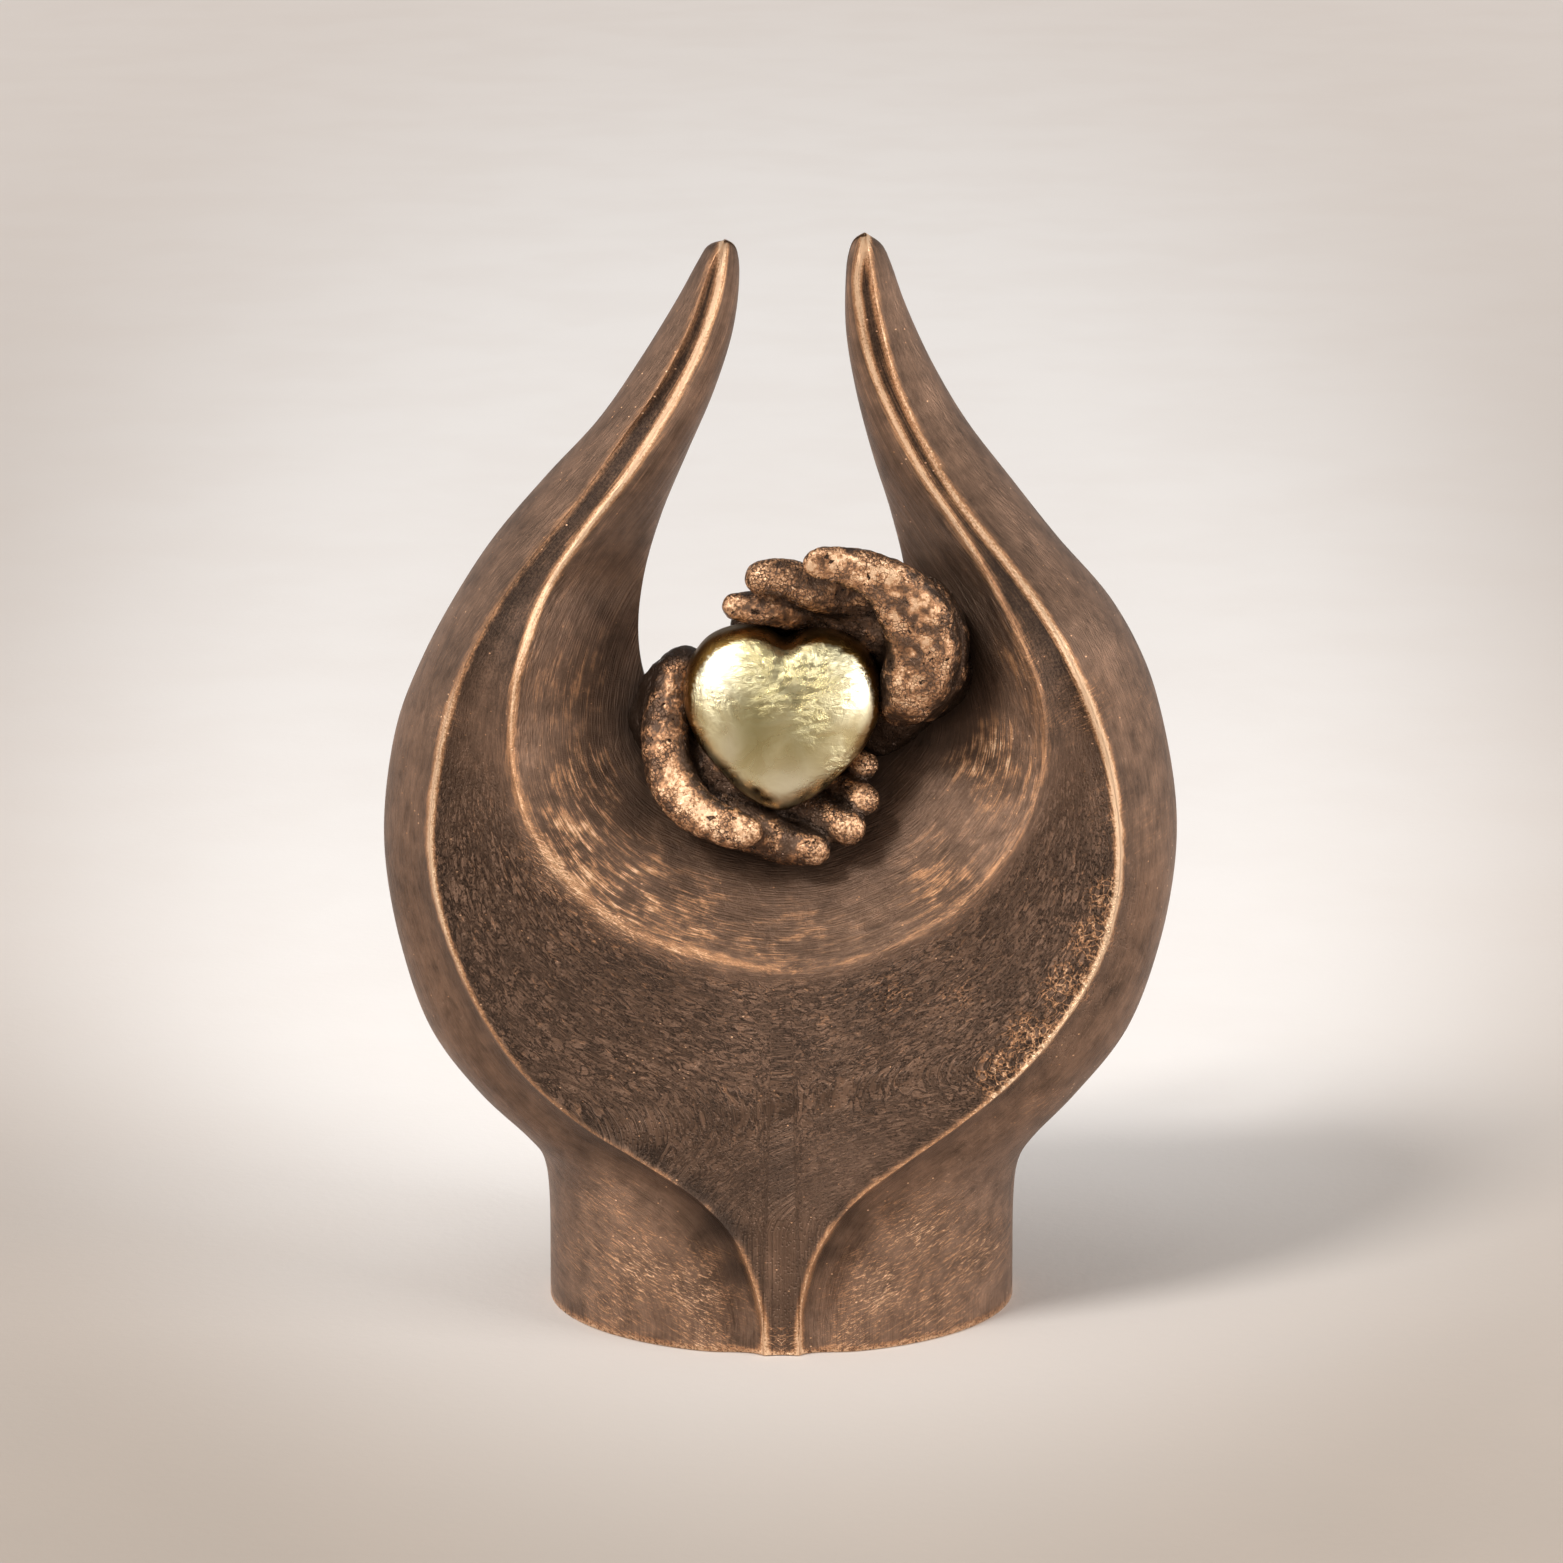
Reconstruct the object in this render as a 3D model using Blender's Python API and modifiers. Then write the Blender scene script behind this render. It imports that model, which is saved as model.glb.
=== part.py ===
"""A table sculpture: two raised wings grow from an oval foot and shelter a pair of cupped hands
that hold a gilded heart. The wings and the hands are one casting, and the heart is set into it.

Metres, +Z up, the front faces -Y. The origin is the middle of the underside of the foot.
"""

import bisect
import math

import bmesh
import bpy
from mathutils import Matrix, Vector

# Sizes here are in millimetres, and MM turns them into Blender's metres.
MM = 0.001

# The foot is an oval column, and the wings rise out of it.
FOOT_WIDTH = 130.0
FOOT_DEPTH = 108.0
FOOT_HEIGHT = 29.0

# Overall size of the body above the foot
BODY_WIDTH = 218.4
BODY_HEIGHT = 300.0
BELLY_DEPTH = 64.0
BACK_DEPTH = 57.0

# The leaf is the hollowed front panel. Its raised edge ends in a narrow stem at the foot.
STEM_WIDTH = 9.4
STEM_STRAIGHT = 9.0
LIP_HEIGHT = 112.8
EDGE_RISE = 2.8
LIP_RISE = 1.6
LEAF_HOLLOW = 5.5
FLUTE_DEPTH = 3.6
FLUTE_WIDTH = 6.0

# How far out from the middle the leaf's hollow starts and is full, at its edge and at its lip
HOLLOW_START_AT_EDGE = 4.0
HOLLOW_FULL_AT_EDGE = 45.0
HOLLOW_START_AT_LIP = 3.0
HOLLOW_FULL_AT_LIP = 30.0

# The gap between the wings opens above this floor, and the bowl's back wall rises to it. The rim
# lies in front of the tips of the wings, and the back rolls over to it. From a little below the
# floor up, the one oval in plan parts into two.
GAP_FLOOR_HEIGHT = 157.0
RIM_FORWARD = 14.0
RIM_ROUNDING = 38.0
PARTING_HEIGHT = 54.0
PARTING_LEAD = 8.0
HORN_ROUNDNESS = 1.5
BOWL_FULLNESS = 0.4

# How wide the raised lip and the raised edge are where they fade into the leaf and the flank,
# and how far the lip's corner is rounded where it is roundest, low in the middle
LIP_WIDTH = 4.0
EDGE_INNER_WIDTH = 4.0
EDGE_OUTER_WIDTH = 1.2
HIGH_EDGE_SHARE = 0.75
NARROW_LEAF = 12.0
LIP_SOFTNESS = 5.0
SOFT_LIP_REACH = 5.0
CRISP_LIP_REACH = 62.0
UNDERSIDE_BLEND = 12.0

# Heart
HEART_WIDTH = 53.0
HEART_HEIGHT = 50.0
HEART_THICKNESS = 31.0
HEART_OFF_RIM = 3.5
HEART_LIFT = 17.2
HEART_TURN = 2.5
HEART_CLEARANCE = 0.3
HEART_CENTRE = (0.0, -(RIM_FORWARD + HEART_OFF_RIM + HEART_THICKNESS / 2),
                GAP_FLOOR_HEIGHT + HEART_LIFT)

# Grain of the hands' mesh before it is thinned to HAND_DETAIL of its faces
HAND_GRAIN = 1.3
HAND_DETAIL = 0.11

# The lines of each wing in the front view run from the middle of the body out and up to the tip.
# A point is (share of half the body's width, share of the body's height). A shoulder's point is
# instead (share of the way from half the foot's width to half the body's, share of the height).
LEFT_TIP = (-0.141, 0.9937)
RIGHT_TIP = (0.208, 1.0)
LEFT_SHOULDER = [(0.02, 0.127), (0.064, 0.146), (0.18, 0.166), (0.456, 0.205), (0.74, 0.263),
                 (0.914, 0.341), (1.0, 0.418)]
RIGHT_SHOULDER = [(0.02, 0.127), (0.064, 0.146), (0.163, 0.166), (0.412, 0.205), (0.709, 0.263),
                  (0.896, 0.341), (0.985, 0.418)]
LEFT_OUTLINE = [(0.999, 0.475), (0.963, 0.551), (0.903, 0.607), (0.821, 0.663), (0.721, 0.719),
                (0.592, 0.775), (0.454, 0.830), (0.350, 0.885), (0.253, 0.943), (0.205, 0.975),
                (0.182, 0.988)]
RIGHT_OUTLINE = [(0.994, 0.475), (0.958, 0.551), (0.910, 0.607), (0.825, 0.663), (0.693, 0.719),
                 (0.572, 0.775), (0.457, 0.830), (0.369, 0.885), (0.302, 0.939), (0.270, 0.972),
                 (0.248, 0.989)]
LEFT_EDGE = [(0.073, 0.073), (0.115, 0.111), (0.201, 0.147), (0.350, 0.183), (0.498, 0.214),
             (0.639, 0.257), (0.741, 0.309), (0.810, 0.362), (0.854, 0.414), (0.869, 0.467),
             (0.847, 0.539), (0.801, 0.605), (0.722, 0.665), (0.617, 0.720), (0.499, 0.771),
             (0.391, 0.824), (0.290, 0.876), (0.216, 0.929), (0.170, 0.977)]
RIGHT_EDGE = [(0.063, 0.073), (0.106, 0.111), (0.180, 0.147), (0.306, 0.183), (0.429, 0.214),
              (0.578, 0.257), (0.704, 0.309), (0.788, 0.362), (0.827, 0.414), (0.834, 0.467),
              (0.806, 0.539), (0.745, 0.605), (0.662, 0.665), (0.553, 0.718), (0.440, 0.768),
              (0.344, 0.824), (0.278, 0.876), (0.239, 0.929), (0.217, 0.977)]
LEFT_LIP = [(0.149, 0.382), (0.296, 0.397), (0.430, 0.421), (0.527, 0.450), (0.597, 0.483),
            (0.641, 0.517), (0.661, 0.556), (0.655, 0.605), (0.622, 0.656), (0.561, 0.705),
            (0.472, 0.750), (0.378, 0.793), (0.288, 0.843), (0.222, 0.886), (0.175, 0.929),
            (0.151, 0.962)]
RIGHT_LIP = [(0.155, 0.382), (0.288, 0.399), (0.406, 0.421), (0.497, 0.450), (0.571, 0.483),
             (0.621, 0.517), (0.644, 0.556), (0.633, 0.605), (0.586, 0.654), (0.514, 0.703),
             (0.428, 0.751), (0.344, 0.795), (0.272, 0.843), (0.222, 0.886), (0.194, 0.929),
             (0.185, 0.962)]
LEFT_RIM = [(0.180, 0.537), (0.290, 0.564), (0.340, 0.600), (0.356, 0.643), (0.342, 0.690),
            (0.298, 0.744), (0.233, 0.801), (0.167, 0.857), (0.120, 0.912), (0.104, 0.958),
            (0.107, 0.980), (0.117, 0.989)]
RIGHT_RIM = [(0.150, 0.534), (0.235, 0.557), (0.285, 0.594), (0.312, 0.643), (0.307, 0.692),
             (0.273, 0.744), (0.224, 0.801), (0.184, 0.857), (0.159, 0.912), (0.158, 0.958),
             (0.164, 0.980), (0.179, 0.994)]

# Where the sections through the foot and the wings are cut, and where points lie along them
FAN_HEIGHT_SHARE = 0.66
FAN_CLIMB = 1.5
FAN_CLIMB_START_SHARE = 0.773
STEM_SHARES = (0.0, 0.5, 1.0)
FOOT_SHARES = (0.015, 0.04, 0.075, 0.12, 0.175, 0.25, 0.34, 0.43, 0.52, 0.61, 0.70, 0.78, 0.85,
               0.915, 0.965, 1.0)
WING_SECTIONS = 32
TIP_SECTIONS = (2.6, 1.1)
BOWL_STEPS = (0.0, 0.05, 0.14, 0.27, 0.42, 0.58, 0.74, 0.88, 1.0)
LEAF_STEPS = (0.0, 0.04, 0.10, 0.20, 0.34, 0.5, 0.66, 0.80, 0.90, 0.96, 1.0)
FLANK_STEPS = (0.0, 0.035, 0.11, 0.24, 0.42, 0.6, 0.8, 1.0)
BACK_STEPS = (0.0, 0.022, 0.08, 0.18, 0.32, 0.48, 0.64, 0.78, 0.89, 0.96, 1.0)

# Each limb of the hands runs through points (x, y, z, radius), measured from the heart's centre
# in hundredths of the heart's width.
LOWER_HAND = {
    "wrist": [(-85, 76, -13, 15), (-72, 57, -11, 19), (-58, 32, -11, 20)],
    "edge": [(-58, 34, -11, 19), (-56, 32, 6, 17), (-47, 28, 17, 13)],
    "thumb": [(-46, 24, 18, 12), (-50, 18, 21, 12), (-55, 11, 12, 12), (-58, 6, 1, 12),
              (-58, 0, -10, 13), (-56, -9, -26, 13), (-48, -17, -39, 12), (-35, -22, -48, 11),
              (-24, -26, -51, 10), (-17, -27, -52, 8)],
    "palm": [(-51, 21, -15, 21), (-34, 15, -34, 24), (-8, 17, -42, 24), (13, 24, -32, 20)],
    "heel": [(-53, 36, -11, 23), (-26, 40, -24, 24), (6, 42, -24, 23)],
    "back": [(-47, 42, 0, 17), (-15, 45, -6, 21), (6, 45, -9, 20)],
    "index": [(-26, -2, -51, 14), (-8, -8, -59, 12), (4, -12, -63, 11), (16, -18, -64, 9)],
    "middle": [(-4, 13, -45, 14), (14, 4, -49, 12), (24, -6, -52, 11), (33, -15, -53, 10)],
    "ring": [(8, 21, -38, 14), (23, 11, -38, 11), (34, 2, -40, 10), (41, -8, -41, 9)],
    "little": [(11, 32, -24, 13), (28, 23, -25, 10), (36, 11, -26, 8), (42, 4, -26, 8)],
}
UPPER_HAND = {
    "wrist": [(94, 76, 15, 21), (85, 53, 17, 26), (73, 28, 19, 26)],
    "thumb": [(63, 17, 11, 13), (62, 2, 10, 15), (67, -6, 20, 18), (71, -11, 36, 19),
              (69, -16, 53, 18), (59, -19, 68, 16), (46, -22, 79, 12), (33, -24, 84, 10),
              (20, -26, 86, 9)],
    "thumb_ball": [(69, 8, 14, 18), (76, 6, 24, 18), (77, 8, 40, 18), (71, 11, 53, 18)],
    "palm": [(72, 21, 24, 24), (62, 19, 42, 24), (43, 19, 55, 23), (23, 26, 51, 20)],
    "heel": [(51, 38, -13, 18), (63, 34, 6, 23), (62, 42, 24, 26), (47, 43, 36, 24),
             (26, 42, 36, 23)],
    "back": [(57, 40, 11, 21), (26, 43, 19, 22), (6, 45, 11, 20)],
    "index": [(49, 9, 64, 16), (30, 4, 65, 13), (14, -4, 69, 11), (2, -8, 74, 10),
              (-10, -9, 75, 9)],
    "middle": [(34, 21, 55, 15), (14, 15, 54, 12), (-5, 6, 56, 10), (-22, 0, 58, 8)],
    "ring": [(23, 34, 47, 14), (6, 30, 47, 12), (-8, 24, 46, 10), (-17, 21, 44, 9)],
    "little": [(17, 47, 36, 13), (2, 43, 34, 11), (-9, 40, 31, 10), (-17, 36, 28, 9)],
}


def trace(points, steps=14):
    """A dense smooth line through points: a centripetal Catmull-Rom spline."""
    knots = [Vector(p) for p in points]
    return spline([2 * knots[0] - knots[1]] + knots, steps)


def trace_from_middle(points, steps=14):
    """A smooth line that starts in the middle of the body and crosses it level."""
    knots = [Vector(p) for p in points]
    mirrored = Vector((-knots[1].x, knots[1].y, 0.0))
    return spline([mirrored] + knots, steps)


def spline(knots, steps):
    """The points of the curve through all knots but the first, which only sets its direction."""
    knots = knots + [2 * knots[-1] - knots[-2]]
    line = []
    for p0, p1, p2, p3 in zip(knots, knots[1:], knots[2:], knots[3:]):
        t1 = (p1 - p0).length ** 0.5
        t2 = t1 + (p2 - p1).length ** 0.5
        t3 = t2 + (p3 - p2).length ** 0.5
        for step in range(steps):
            t = t1 + (t2 - t1) * step / steps
            a1 = p0 * ((t1 - t) / t1) + p1 * (t / t1)
            a2 = p1 * ((t2 - t) / (t2 - t1)) + p2 * ((t - t1) / (t2 - t1))
            a3 = p2 * ((t3 - t) / (t3 - t2)) + p3 * ((t - t2) / (t3 - t2))
            b1 = a1 * ((t2 - t) / t2) + a2 * (t / t2)
            b2 = a2 * ((t3 - t) / (t3 - t1)) + a3 * ((t - t1) / (t3 - t1))
            line.append(b1 * ((t2 - t) / (t2 - t1)) + b2 * ((t - t1) / (t2 - t1)))
    return line + [knots[-2]]


def smoothstep(low, high, value):
    share = min(1.0, max(0.0, (value - low) / (high - low)))
    return share * share * (3 - 2 * share)


def lerp(low, high, share):
    return low + (high - low) * share


class Profile:
    """A value over height, read off a line of (value, height) points."""

    def __init__(self, line):
        self.heights = [p[1] for p in line]
        self.values = [p[0] for p in line]

    def __call__(self, height):
        i = min(max(bisect.bisect(self.heights, height), 1), len(self.heights) - 1)
        low, high = self.heights[i - 1], self.heights[i]
        share = min(1.0, max(0.0, (height - low) / max(high - low, 1e-9)))
        return lerp(self.values[i - 1], self.values[i], share)


def depth_profile(foot, belly, belly_share):
    """Half of the body's depth over height, for its front or for its back."""
    shares = [(0.94, 0.25), (1.0, belly_share), (0.97, 0.46), (0.88, 0.54), (0.76, 0.61),
              (0.63, 0.67), (0.5, 0.73), (0.32, 0.83), (0.14, 1.0)]
    points = [(foot, 0.0, 0.0), (foot * 0.99, FOOT_HEIGHT, 0.0)]
    points.append((lerp(foot, belly, 0.1), BODY_HEIGHT * 0.15, 0.0))
    points += [(belly * depth, BODY_HEIGHT * height, 0.0) for depth, height in shares]
    return Profile(trace(points))


class Wing:
    """One side of the body: its lines in the front view, and how deep it is behind them.

    Across the front view a wing runs from its rim, at the gap, over the lip and the leaf's edge
    to its outline. Lines are kept as (distance out from the middle, height).
    """

    def __init__(self, side, tip, shoulder, outline, edge, lip, rim):
        self.side = side
        half = BODY_WIDTH / 2
        foot = FOOT_WIDTH / 2
        stem = STEM_WIDTH / 2

        def points(shares):
            return [(half * out, BODY_HEIGHT * up, 0.0) for out, up in shares] + [self.tip]

        self.tip = (half * tip[0] * side, BODY_HEIGHT * tip[1], 0.0)
        side_of_foot = [(foot, 0.0, 0.0), (foot, FOOT_HEIGHT, 0.0)]
        side_of_foot += [(lerp(foot, half, out), BODY_HEIGHT * up, 0.0) for out, up in shoulder]
        self.outline = trace(side_of_foot + points(outline))
        self.edge = trace([(stem, 0.0, 0.0), (stem, STEM_STRAIGHT, 0.0)] + points(edge))
        self.lip = trace_from_middle([(0.0, LIP_HEIGHT, 0.0)] + points(lip))
        self.rim = trace_from_middle([(0.0, GAP_FLOOR_HEIGHT, 0.0)] + points(rim))
        self.width = Profile(self.outline)
        self.rim_width = Profile(self.rim)
        self.front = depth_profile(FOOT_DEPTH / 2, BELLY_DEPTH, 0.375)
        self.back = depth_profile(FOOT_DEPTH / 2, BACK_DEPTH, 0.375)

    def parting(self, height):
        """From 0, where the body is one oval in plan, to 1, where each wing is its own oval."""
        return smoothstep(GAP_FLOOR_HEIGHT - PARTING_LEAD, GAP_FLOOR_HEIGHT + PARTING_HEIGHT, height)

    def hull(self, out, height, depths, parted):
        """Depth of the plain rounded body behind a point of the front view."""
        width = self.width(height)
        middle = parted * (width + self.rim_width(height)) / 2
        half_width = max(width - middle, 1e-6)
        depth = (depths(height) ** -4 + (HORN_ROUNDNESS * half_width) ** -4) ** -0.25
        across = min(1.0, abs(out - middle) / half_width)
        return depth * math.sqrt(1.0 - across * across)

    def front_hull(self, place):
        return self.hull(place.x, place.y, self.front, self.parting(place.y))

    def rim_depth(self, rim):
        """The rim lies in front of the tips' plane, and runs back into it as it climbs."""
        share = rim.y / BODY_HEIGHT
        return -RIM_FORWARD * (1.0 - smoothstep(0.56, 0.76, share))

    def fade(self, height):
        """How much of the edge's rise is left near the underside, where the stem runs out."""
        return 0.35 + 0.65 * smoothstep(0.0, 0.5 * FOOT_HEIGHT, height)

    def off_edge(self, place):
        """Distance of a point of the front view from the leaf's edge, on this side or the other."""
        near = min((place.x - p.x) ** 2 + (place.y - p.y) ** 2 for p in self.edge)
        return math.sqrt(near)

    def meet(self, line, pivot, aim):
        """Where a section from the pivot towards an aim crosses one of the wing's lines."""
        along = Vector((aim[0] - pivot[0], aim[1] - pivot[1]))
        across = Vector((-along.y, along.x))
        for low, high in zip(line, line[1:]):
            low_side = across.x * (low[0] - pivot[0]) + across.y * (low[1] - pivot[1])
            high_side = across.x * (high[0] - pivot[0]) + across.y * (high[1] - pivot[1])
            if low_side <= 0.0 < high_side or high_side <= 0.0 < low_side:
                share = low_side / (low_side - high_side)
                point = Vector((lerp(low[0], high[0], share), lerp(low[1], high[1], share)))
                reach = (point - Vector(pivot)).dot(along) / along.length_squared
                if 0.0 < reach <= 1.0 + 1e-6:
                    return point
        return Vector(aim)


def soft_corner(depth, beyond, softness):
    """Rounds the corner between a face and the other face's tangent, carried on past it."""
    return (depth + beyond + math.sqrt((depth - beyond) ** 2 + softness ** 2)) / 2


def front_of(wing, rim, lip, edge, outline):
    """Points of one section over the front, from the rim of the gap to the outline."""
    height = BODY_HEIGHT
    low_wing = 1.0 - smoothstep(0.38 * height, 0.52 * height, edge.y)
    high_wing = smoothstep(0.68 * height, 0.86 * height, lip.y)
    aside = smoothstep(HOLLOW_START_AT_EDGE, HOLLOW_FULL_AT_EDGE, edge.x)
    aside *= smoothstep(HOLLOW_START_AT_LIP, HOLLOW_FULL_AT_LIP, lip.x)
    bowl_width = (lip - rim).length
    leaf_width = (edge - lip).length
    flank_width = (outline - edge).length
    lip_rise = LIP_RISE * min(1.0, bowl_width / NARROW_LEAF)
    edge_rise = EDGE_RISE * lerp(HIGH_EDGE_SHARE, 1.0, low_wing) * min(1.0, leaf_width / NARROW_LEAF)
    hollow = aside * min(LEAF_HOLLOW, 0.22 * leaf_width)
    flute = FLUTE_DEPTH * low_wing * min(1.0, flank_width / NARROW_LEAF)
    crest = -wing.front_hull(lip) - lip_rise

    def bowl_depth(share):
        bowl = share + BOWL_FULLNESS * share * (1.0 - share)
        horn = 1.0 - math.sqrt(1.0 - share * share)
        return lerp(crest, wing.rim_depth(rim), lerp(bowl, horn, high_wing))

    def leaf_depth(share):
        place = lip.lerp(edge, share)
        depth = -wing.front_hull(place)
        depth -= lip_rise * math.exp(-share * leaf_width / LIP_WIDTH)
        rise = edge_rise * wing.fade(place.y)
        depth -= rise * math.exp(-wing.off_edge(place) / EDGE_INNER_WIDTH)
        return depth + hollow * abs(math.sin(math.pi * share)) ** 1.3

    def flank_depth(place):
        away = wing.off_edge(place)
        depth = -wing.front_hull(place)
        depth -= edge_rise * wing.fade(place.y) * math.exp(-away / EDGE_OUTER_WIDTH)
        wave = math.exp(-((away - FLUTE_WIDTH) / FLUTE_WIDTH) ** 2)
        depth += flute * wing.fade(place.y) * wave * min(1.0, 2.0 * away / FLUTE_WIDTH)
        return min(depth, 0.0)

    near = 0.02
    bowl_slope = max(0.0, (bowl_depth(near) - crest) / max(near * bowl_width, 1e-6))
    leaf_slope = max(0.0, (leaf_depth(near) - crest) / max(near * leaf_width, 1e-6))
    crispness = smoothstep(SOFT_LIP_REACH, CRISP_LIP_REACH, lip.x)
    softness = LIP_SOFTNESS * lerp(1.0, 0.15, crispness)

    points = []
    for share in reversed(BOWL_STEPS):
        beyond = crest - leaf_slope * share * bowl_width
        points.append((lip.lerp(rim, share), soft_corner(bowl_depth(share), beyond, softness)))
    for share in LEAF_STEPS[1:]:
        beyond = crest - bowl_slope * share * leaf_width
        points.append((lip.lerp(edge, share), soft_corner(leaf_depth(share), beyond, softness)))
    to_side = smoothstep(0.0, UNDERSIDE_BLEND, outline.y)
    for share in FLANK_STEPS[1:]:
        share = lerp(share, math.sin(share * math.pi / 2), to_side)
        place = edge.lerp(outline, share)
        points.append((place, flank_depth(place)))
    return points


def back_of(wing, rim, outline):
    """Points of the same section over the back, from the outline to the rim of the gap.

    Low down the back rolls over to the rim like a shoulder, and higher up each wing is round.
    """
    span = (outline - rim).length
    rim_depth = wing.rim_depth(rim)
    parted = smoothstep(GAP_FLOOR_HEIGHT, GAP_FLOOR_HEIGHT + PARTING_HEIGHT, rim.y)
    points = []
    for share in BACK_STEPS[1:-1]:
        place = outline.lerp(rim, share)
        near = min(1.0, (1.0 - share) * span / RIM_ROUNDING)
        one_oval = wing.hull(place.x, place.y, wing.back, 0.0)
        shoulder = lerp(rim_depth, one_oval, math.sqrt(1.0 - (1.0 - near) ** 2))
        inner = max(0.0, 2.0 * share - 1.0) ** 2
        own_share = lerp(wing.parting(place.y), 1.0, share)
        own_oval = wing.hull(place.x, place.y, wing.back, own_share) + rim_depth * inner
        points.append((place, lerp(shoulder, own_oval, parted)))
    return points


def sections_of(wing):
    """All sections of one wing, as lists of (place in the front view, depth), from the middle."""
    pivot_height = FAN_HEIGHT_SHARE * BODY_HEIGHT
    foot = FOOT_WIDTH / 2
    stem = STEM_WIDTH / 2
    sections = []
    foot_aims = [stem * share for share in STEM_SHARES]
    foot_aims += [lerp(stem, foot, share) for share in FOOT_SHARES]
    for out in foot_aims:
        pivot, aim = (0.0, pivot_height), Vector((out, 0.0))
        if out == 0.0:
            rim = Vector((0.0, wing.rim[0].y))
            lip = Vector((0.0, wing.lip[0].y))
        else:
            rim = wing.meet(wing.rim, pivot, aim)
            lip = wing.meet(wing.lip, pivot, aim)
        edge = aim if out <= stem else wing.meet(wing.edge, pivot, aim)
        front = front_of(wing, rim, lip, edge, aim)
        depth = wing.hull(out, 0.0, wing.back, 0.0)
        sections.append(front + [(aim, depth)] + back_of(wing, rim, aim))

    lengths = [0.0]
    for low, high in zip(wing.outline, wing.outline[1:]):
        lengths.append(lengths[-1] + (high - low).length)
    reaches = [lengths[-1] * number / (WING_SECTIONS + 0.5) for number in range(1, WING_SECTIONS + 1)]
    reaches += [lengths[-1] - short_of_tip for short_of_tip in TIP_SECTIONS]
    for reach in reaches:
        i = bisect.bisect(lengths, reach)
        part = (reach - lengths[i - 1]) / (lengths[i] - lengths[i - 1])
        aim = wing.outline[i - 1].lerp(wing.outline[i], part).to_2d()
        climb = max(0.0, aim.y - FAN_CLIMB_START_SHARE * BODY_HEIGHT)
        pivot = (0.0, pivot_height + FAN_CLIMB * climb)
        rim, lip, edge = (wing.meet(line, pivot, aim) for line in (wing.rim, wing.lip, wing.edge))
        front = front_of(wing, rim, lip, edge, aim)
        sections.append(front + [(aim, 0.0)] + back_of(wing, rim, aim))
    return sections


def build_body():
    """Skin the sections of both wings, close the tips with a point and the underside with a face."""
    left = Wing(-1, LEFT_TIP, LEFT_SHOULDER, LEFT_OUTLINE, LEFT_EDGE, LEFT_LIP, LEFT_RIM)
    right = Wing(1, RIGHT_TIP, RIGHT_SHOULDER, RIGHT_OUTLINE, RIGHT_EDGE, RIGHT_LIP, RIGHT_RIM)
    bm = bmesh.new()
    rings = []
    for wing in (left, right):
        rows = []
        for section in sections_of(wing):
            row = []
            for place, depth in section:
                corner = Vector((wing.side * place.x, depth, place.y)) * MM
                row.append(bm.verts.new(corner))
            rows.append(row)
        tip = bm.verts.new(Vector((wing.side * wing.tip[0], 0.0, wing.tip[1])) * MM)
        rings.append((rows, tip))
    (left_rows, left_tip), (right_rows, right_tip) = rings
    rows = left_rows[:0:-1] + right_rows
    front_end = len(BOWL_STEPS) + len(LEAF_STEPS) + len(FLANK_STEPS) - 3
    bottom = 2 * (len(STEM_SHARES) + len(FOOT_SHARES)) - 1
    first_foot = len(left_rows) - (bottom + 1) // 2
    for number, (row, following) in enumerate(zip(rows, rows[1:])):
        over_foot = first_foot <= number < first_foot + bottom - 1
        for i, corner in enumerate(row):
            following_i = (i + 1) % len(row)
            if over_foot and i == front_end:
                continue
            bm.faces.new((corner, row[following_i], following[following_i], following[i]))
    for row, tip in ((rows[0], left_tip), (rows[-1], right_tip)):
        for i, corner in enumerate(row):
            bm.faces.new((corner, row[(i + 1) % len(row)], tip))
    bmesh.ops.remove_doubles(bm, verts=bm.verts, dist=0.02 * MM)
    bmesh.ops.dissolve_degenerate(bm, edges=bm.edges, dist=0.01 * MM)
    rim = [edge for edge in bm.edges if edge.is_boundary]
    bmesh.ops.contextual_create(bm, geom=rim)
    bmesh.ops.recalc_face_normals(bm, faces=bm.faces)
    return new_object("sculpture_body", bm)


def new_object(name, bm, collection=None):
    """A new object from a bmesh, which is freed."""
    mesh = bpy.data.meshes.new(name)
    bm.to_mesh(mesh)
    bm.free()
    thing = bpy.data.objects.new(name, mesh)
    (collection or sculpture).objects.link(thing)
    return thing


def rounded_end(line):
    """Shrinking rings that close the last point of a limb with half a ball."""
    end = line[-1]
    along = (end.xyz - line[-2].xyz).normalized()
    rings = []
    for degrees in (30, 55, 75, 86):
        angle = math.radians(degrees)
        place = end.xyz + along * end.w * math.sin(angle)
        rings.append(Vector((*place, end.w * math.cos(angle))))
    return rings


def limb(name, joints):
    """A tapered round limb with rounded ends, as a closed mesh: a bevelled curve, made a mesh."""
    centre = Vector((*HEART_CENTRE, 0.0))
    line = [point * HEART_WIDTH / 100 + centre for point in trace(joints, 4)]
    line = rounded_end(line[::-1])[::-1] + line + rounded_end(line)
    curve = bpy.data.curves.new(name, "CURVE")
    curve.dimensions = "3D"
    curve.bevel_depth = MM
    curve.bevel_resolution = 4
    curve.use_fill_caps = True
    spline = curve.splines.new("POLY")
    spline.points.add(len(line) - 1)
    for point, joint in zip(spline.points, line):
        point.co = (joint.x * MM, joint.y * MM, joint.z * MM, 1.0)
        point.radius = joint.w
    thing = bpy.data.objects.new(name, curve)
    helpers.objects.link(thing)
    mesh = bpy.data.meshes.new_from_object(thing.evaluated_get(fresh_depsgraph()))
    bpy.data.objects.remove(thing)
    return mesh


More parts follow.
